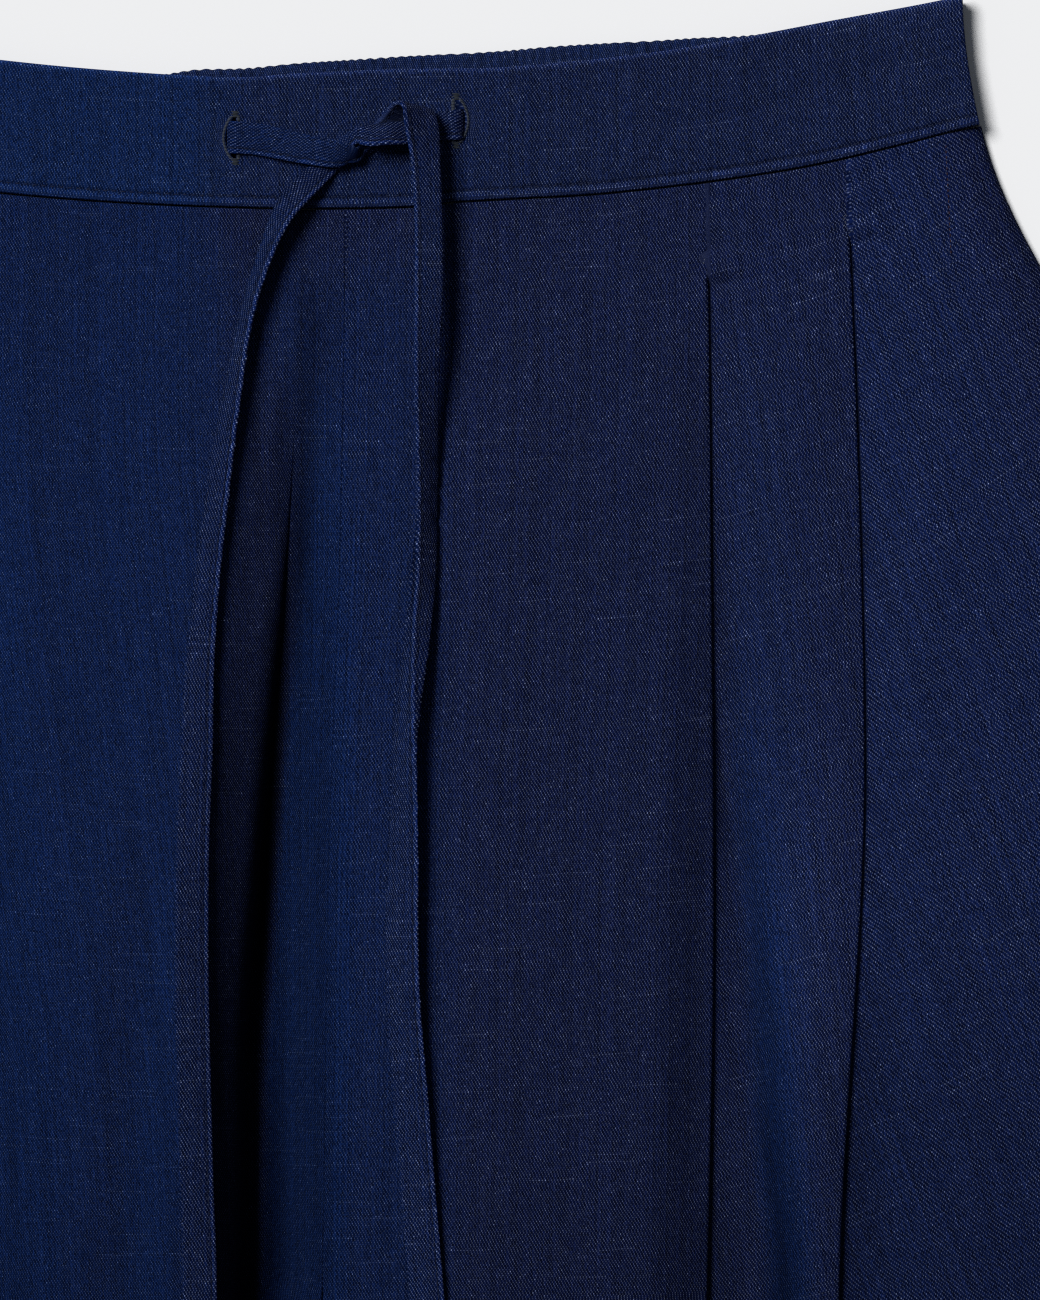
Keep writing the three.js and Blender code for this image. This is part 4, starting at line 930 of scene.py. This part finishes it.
sewing = [
    stitches(f"waistband_{key}_stitches_{number}", places, UP, thick, thread)
    for number, (key, places, thick, thread) in enumerate(band_rows)]

# ---- Back waistband ------------------------------------------------------------------------------
# The back of the waist: a folded band gathered over elastic, so that it is all small upright folds.
# It lies under the front band and stands a few millimetres above it in the middle.

GATHERED = 4.3  # its depth from face to face
BACK_PEEK = rows(
    "x rise",
    (-182, -1), (-60, -0.6), (-41, 2.4), (13, 3.8), (58, 5.2), (97, 3.1), (128, -0.1), (182, -1))
GATHER = 2.9  # mean spacing of the gathers


def gathers(x):
    """Uneven upright gathers: 1 on each crest, 0 in the soft furrows between."""
    phase = x / GATHER + 0.5 * np.sin(x / 9.3) + 0.3 * np.sin(x / 4.1 + 1) + 0.2 * np.sin(x / 23)
    return np.sqrt(0.08 + 0.92 * np.cos(np.pi * phase) ** 2)


gather_xs = np.linspace(-WAIST_HALF, WAIST_HALF, 761)
lap = np.linspace(0, np.pi, 14)
lap_z = np.concatenate([[1] * 9, np.cos(lap), [-1] * 9])
lap_v = np.concatenate([np.linspace(1, 0, 10)[:-1], 0 * lap, np.linspace(0, 1, 10)[1:]])
x, down = np.meshgrid(gather_xs, lap_v)
side = lap_z[:, None]
furrow = (1 - gathers(x)) * mix(0.4, 1, 0.5 + 0.5 * uneven(x, 0 * x, 17, 31))
crest = -column(BACK_PEEK, "rise", x, "x") + 0.7 * furrow + GATHERED / 2 * 0.7
round_top = GATHERED / 2 * 0.7 * np.sqrt(1 - side ** 2)
v = mix(crest - round_top, BAND, down)
z = GATHERED / 2 + 0.1 + side * (GATHERED / 2 - 0.6 * furrow * (side > -0.9))
points = place(flared(x, v), v, z)
around, along = x.shape
at = np.arange(around * along).reshape(around, along)
# Painted light and shade: the gathers' crests are painted paler and the furrows between them darker.
back_band = make_piece(
    "waistband_back_cloth", points.reshape(-1, 3),
    np.concatenate([grid_quads(around, along)[:, ::-1], *loop_ends(at)]),
    np.stack([x * 1.4, v * np.where(side < 0, -1, 1)], axis=-1).reshape(-1, 2), band_cloth,
    0.5 + 0 * x, 0.25 * (1 - furrow) - 0.35 * furrow)
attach(back_band, "root")
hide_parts("waistband_back")

# ---- Drawstring ----------------------------------------------------------------------------------
# One flat tape of the same cloth, folded and stitched along one edge. It runs inside the waistband,
# comes out of the two buttonholes and is half knotted, and its two ends hang free over the fronts.

# A row is a point on the tape's middle: x, s below the middle of the waistline, height above the cloth
# there, the direction of the tape's width in plan, how far that is tipped up, and its width. The seam
# is where the stitched edge lies across the width, -1 to 1, and the rise how far it stands up like a tent.
LEFT_END = rows(
    "x s above heading tip width seam rise",
    (-34, 18.9, -1.4, -90, 0, 9.6, 1, 0), (-34, 18.9, 0.4, -90, 0, 9.6, 1, 0),
    (-32.6, 19, 1.6, -90, 0, 9.6, 1, 0), (-30, 19.1, 1.5, -90, 0, 9.6, 1, 0),
    (-24.4, 19.8, 1.4, -88, 0, 9.4, 1, 0), (-16.2, 21.6, 2.4, -85, 0, 9, 1, 0),
    (-8.8, 23.1, 4, -84, -4, 8.6, 1, 0), (-3.4, 23.9, 5.4, -82, -14, 8.6, 1, 0),
    (0.8, 24.2, 5.8, -76, -44, 8.2, 1, 0), (3.2, 24.5, 4.8, -64, -60, 5.8, 0.7, 0),
    (5.2, 22.8, 2.6, -58, -46, 5, 0.2, 0), (8.2, 19.8, 1.2, -54, 0, 5.8, 0, 0),
    (11.1, 17.3, 1.6, -44, -8, 7.4, -1, 0), (14, 15, 2.7, -32, -24, 8.6, -1, 0),
    (16, 12.6, 4.2, -20, -36, 10, -1, 0), (17.6, 10.7, 5.2, -15, -38, 10.6, -1, 0),
    (19.5, 10, 7, -14, -36, 11, -1, 0), (21.4, 11.3, 8.8, -11, -33, 11.6, -1, 0),
    (22.2, 14.1, 9.6, -8, -26, 11, -1, 0), (23.2, 20, 9.2, -3, -13, 9.8, -1, 0),
    (23.9, 28, 9, 0, -6, 8.7, -1, 0), (24.4, 37, 9.4, 0, -2, 8.3, -1, 0),
    (24.7, 50, 10.2, 0, -2, 8.4, -1, 0), (24.7, 64, 10.8, 0, -4, 8.4, -1, 0),
    (24.4, 78, 10.8, 0, -10, 8, -1, 0), (24.1, 92, 8.2, 0, -20, 7.8, -1, 0.2),
    (24.1, 110, 5.2, 0, -33, 8, -1, 0.5), (24, 130, 3.6, 0, -38, 8, -1, 0.8),
    (23.2, 148, 3.8, 0, -22, 8, -0.69, 1.3), (21.9, 161, 4.2, 0, -2, 7.7, -0.36, 1.5),
    (20.5, 174, 4.8, 0, 18, 7.8, 0.08, 1.4), (19, 185, 5.4, 0, 32, 8.5, 0.64, 1),
    (17.9, 198, 5.4, 0, 38, 9.2, 0.96, 0.5), (17.6, 213, 5.2, 0, 37, 9.8, 1, 0.2),
    (17.3, 235, 4.8, 0, 32, 10.4, 1, 0), (16.9, 255, 4.4, 0, 28, 11, 1, 0),
    (17.4, 274, 3.9, 0, 24, 10.8, 1, 0), (19.7, 303, 2.9, 0, 14, 10.4, 1, 0),
    (22.1, 333, 2, 0, 8, 10.2, 1, 0), (24.4, 361, 1.9, 0, 6, 10.3, 1, 0),
    (26.3, 380, 1.4, 0, 0, 10.2, 1, 0), (27.6, 398, 1.4, 0, 0, 10, 1, 0))
RIGHT_END = rows(
    "x s above heading tip width",
    (34.3, 15.2, -1.4, -90, 0, 9.2), (34.3, 15.2, 0.4, -90, 0, 9.2), (32.9, 15.3, 1.6, -90, 0, 9),
    (30.4, 15.6, 1.4, -90, 0, 8.6), (27, 15.9, 1.2, -90, 0, 8), (22.4, 17.2, 3, -90, 6, 7.4),
    (17.8, 17.8, 5.4, -90, 24, 7.6), (12.6, 18.2, 7.4, -90, 38, 8.2), (8, 18.6, 7.4, -88, 38, 8.2),
    (3.4, 18.7, 5.7, -80, 22, 5), (0, 21.6, 2.9, -62, 8, 5.8), (-2.6, 24.4, 1.2, -50, 0, 5.8),
    (-5.4, 27.5, 1.15, -46, 0, 6.4), (-8.8, 30.6, 2.2, -42, 8, 7.4), (-13.6, 35.4, 3.6, -38, 20, 8),
    (-18.2, 41.4, 4.6, -32, 32, 7.8), (-22, 49.4, 5.2, -22, 44, 7.2), (-25.4, 59, 4.8, -14, 50, 6.8),
    (-28.4, 69, 3.7, -10, 50, 6.6), (-30.7, 79.5, 3.4, -8, 46, 6.6), (-33.2, 95, 3, -6, 38, 7),
    (-35.8, 111, 2.8, -6, 30, 7.8), (-37.9, 128, 2.5, -6, 24, 7.8), (-39.7, 143, 2.9, -5, 20, 7.8),
    (-41.2, 159, 3, -4, 15, 8), (-42.5, 176, 3, -3, 10, 8.7), (-43.3, 198, 2.8, -2, 4, 9.6),
    (-44.4, 228, 2.8, 0, 0, 9.6), (-44.6, 268, 3, 0, 0, 9.9), (-44, 295, 3.2, 0, 0, 9.9),
    (-43.1, 326, 3.2, 0, 0, 9.8), (-42.2, 356, 2.8, 0, 0, 10), (-42.6, 382, 2.2, 0, 0, 9.8),
    (-44, 404, 1.8, 0, 0, 9.6))
RIGHT_END["seam"] = 0 * RIGHT_END["x"] + 1
RIGHT_END["rise"] = 0 * RIGHT_END["x"]
TAPE_WALL = 1.6
RIM = 1.1  # width of the stitched edge
GROOVE = 1.15  # from the edge's middle to the line of stitches
TAPE_STITCH = 2.2
TAPE_SPACING = 0.6
BAND_STEP = 12.0  # the tape comes down from the waistband to the panel over this length
SHELL_HALF = 0.6  # half the thickness of the solid panel, whose face the tape lies on


def cloth_top(x, v):
    """Height of the upper face of whatever cloth lies at x and v."""
    below = np.maximum(v, BAND)
    on_right = x > column(CENTRE_SEAM, "x", below)
    panel = np.where(on_right, front_height(x, below, 1), front_height(x, below, -1))
    return mix(BAND_CEILING, panel + SHELL_HALF, smoothstep((v - BAND) / BAND_STEP))


def smooth_path(points, t):
    """A centripetal Catmull-Rom curve through the points, at the row numbers t."""
    ends = np.concatenate([[2 * points[0] - points[1]], points, [2 * points[-1] - points[-2]]])
    knot = np.maximum(np.sqrt(np.linalg.norm(np.diff(ends, axis=0), axis=1)), 1e-3)
    i = np.clip(t.astype(int), 0, len(points) - 2)
    part = (t - i)[:, None]
    p0, p1, p2, p3 = (ends[i + k] for k in range(4))
    k0, k1, k2 = (knot[i + k][:, None] for k in range(3))
    t1 = ((p1 - p0) / k0 - (p2 - p0) / (k0 + k1) + (p2 - p1) / k1) * k1
    t2 = ((p2 - p1) / k1 - (p3 - p1) / (k1 + k2) + (p3 - p2) / k2) * k1
    return (p1 + t1 * part + (3 * (p2 - p1) - 2 * t1 - t2) * part ** 2
            + (2 * (p1 - p2) + t1 + t2) * part ** 3)


def follow(route):
    """Evenly spaced places along a route: the distance, the middle, the directions across and out of the
    face, and the route's other values."""
    v = route["s"]
    for _ in range(6):  # the bow itself depends on v, so v is found by repeating
        v = route["s"] + bow(route["x"], v)
    y = MIDDLE - v + bow(route["x"], v)
    spots = np.stack([route["x"], y, cloth_top(route["x"], v) + route["above"]], axis=-1)
    t = np.linspace(0, len(spots) - 1, 40 * len(spots))
    far = np.concatenate([[0], np.cumsum(np.linalg.norm(np.diff(smooth_path(spots, t), axis=0), axis=1))])
    along = np.linspace(0, far[-1], int(far[-1] / TAPE_SPACING) + 1)
    t = np.interp(along, far, t)
    tape = {key: np.interp(t, np.arange(len(spots)), value) for key, value in route.items()}
    heading, tip = np.radians(tape["heading"]), np.radians(tape["tip"])
    across = np.stack([np.cos(heading) * np.cos(tip), np.sin(heading) * np.cos(tip), np.sin(tip)], axis=-1)
    middle = smooth_path(spots, t)
    tangent = np.gradient(middle, axis=0)
    tangent /= np.linalg.norm(tangent, axis=1, keepdims=True)
    across -= tangent * np.sum(across * tangent, axis=1, keepdims=True)
    across /= np.linalg.norm(across, axis=1, keepdims=True)
    tape.update(along=along, middle=middle, across=across, out=np.cross(tangent, across))
    return tape


def at_distance(tape, key, along):
    """One of the tape's values at the distances along it."""
    last = len(tape["along"]) - 1
    k = np.clip(along / tape["along"][-1] * last, 0, last - 0.001)
    i = k.astype(int)
    return mix(tape[key][i], tape[key][i + 1], (k - i).reshape(k.shape + (1,) * (tape[key].ndim - 1)))


def tape_skin(tape, along, a, level, seed):
    """Points at the distances along a tape and a across it, from -1 to 1; level is 1 on the upper face
    and -1 on the lower. The stitched edge is thicker, with a groove beside it, and small puckers run
    across, deepest near the seam."""
    middle, across, out = (at_distance(tape, key, along) for key in ("middle", "across", "out"))
    width, seam, rise = (at_distance(tape, key, along) for key in ("width", "seam", "rise"))
    off = a * width / 2 - seam * (width - RIM) / 2
    rim = np.exp(-(off / 0.6) ** 4)
    groove = bell(np.abs(off) - GROOVE, 0.28)
    pull = 0.6 - 0.4 * np.cos(2 * np.pi * along / TAPE_STITCH)
    span = np.maximum(1 - seam * np.sign(a - seam), 0.2)
    tent = rise * (1 - np.minimum(np.abs(a - seam) / span, 1))
    dice = np.random.default_rng(seed)
    spots = np.cumsum(dice.uniform(6.8, 10.6, 56))
    depth, slant = dice.uniform(0.25, 0.75, (2, 56))
    puckers = sum(d * bell(along - at - 3 * k * a, 1.0) for at, d, k in zip(spots, depth, slant))
    puckers = puckers * smoothstep(along / 60 - 1) * (0.3 + 0.7 * bell(np.abs(a) - 0.75, 0.3))
    swell = TAPE_WALL / 2 + 0.25 * rim - 0.2 * groove * pull
    lift = level * swell + tent - puckers
    return middle + across * (a * width / 2)[..., None] + out * lift[..., None]


def drawstring(name, tape, seed, cool_to):
    """The closed tape as rings of points round its flat section, with its tint and its paler and darker
    places: a painted highlight on the stitched edge, painted shade in the groove beside it, and on the right
    tape a darker tone towards its end.
    """
    upper = np.sin(np.linspace(-np.pi / 2, np.pi / 2, 31))
    a = np.concatenate([upper, upper[-2:0:-1]])
    level = np.sqrt(1 - np.abs(a) ** 4) * np.repeat([1, -1], [len(upper), len(upper) - 2])
    along, a = np.meshgrid(tape["along"], a, indexing="ij")
    level = level + 0 * along
    shape = tape_skin(tape, along, a, level, seed)
    rings, sides = along.shape
    k = np.arange(sides // 2 - 1)
    cap = np.stack([k, sides - 1 - k, sides - 2 - k, k + 1], axis=1)
    caps = np.concatenate([cap, (cap + (rings - 1) * sides)[:, ::-1]])
    width, seam = at_distance(tape, "width", along), at_distance(tape, "seam", along)
    off = np.abs(a * width / 2 - seam * (width - RIM) / 2)
    # Painted highlight on the stitched edge and painted shade in the groove beside it.
    toned_with_painted_light = 0.75 * np.exp(-(off / 0.62) ** 4) - 0.5 * bell(off - GROOVE, 0.3)
    normal = normals(shape)
    # Painted light tint: the tape is painted in its cool colour where it faces left, towards the lamp, and in
    # the warm one where it faces right; near the left tape's buttonhole it is cool throughout.
    cool = 0.45 - 0.45 * np.clip(normal[..., 0] * np.sign(normal[..., 2]) / 0.8, -1, 1)
    cool = np.maximum(cool, 1 - smoothstep((along - cool_to) / 10))
    toned_with_painted_light = toned_with_painted_light - 0.14 * smoothstep((along - 230) / 60) * (cool_to < 0)
    flat = np.stack([np.where(level < 0, 20 - a, a) * width / 2, along], axis=-1).reshape(-1, 2)
    return make_piece(
        name, shape.reshape(-1, 3), np.concatenate([tube_quads(rings, sides), caps]), flat, tape_cloth,
        cool, toned_with_painted_light)


tape_cloth = twill(
    "tape_cloth", ((0.0016, 0.0064, 0.0350), (0.0015, 0.0036, 0.0225)),
    ((0.056, 0.076, 0.144), (0.088, 0.106, 0.176)))
for name, route, seed, cool_to in (("left", LEFT_END, 21, 40), ("right", RIGHT_END, 22, -20)):
    tape = follow(route)
    piece = drawstring(f"drawstring_{name}_tape", tape, seed, cool_to)
    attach(piece, "root")
    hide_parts(f"drawstring_{name}")
    start = np.arange(3, tape["along"][-1] - 3, TAPE_STITCH)
    along = start[:, None] + np.linspace(-0.5, 0.5, 5) * 1.6
    width, seam = at_distance(tape, "width", along), at_distance(tape, "seam", along)
    inward = np.where(seam > 0, -1, 1)
    a = (seam * (width - RIM) / 2 + inward * GROOVE) / (width / 2)
    sewing = []
    for key, level in (("upper", 1), ("lower", -1)):
        places = tape_skin(tape, along, a, level + 0 * a, seed)
        up = at_distance(tape, "out", start) * level
        sewing.append(stitches(
            f"drawstring_{name}_{key}_stitches", places, up, 0.34, navy_thread))
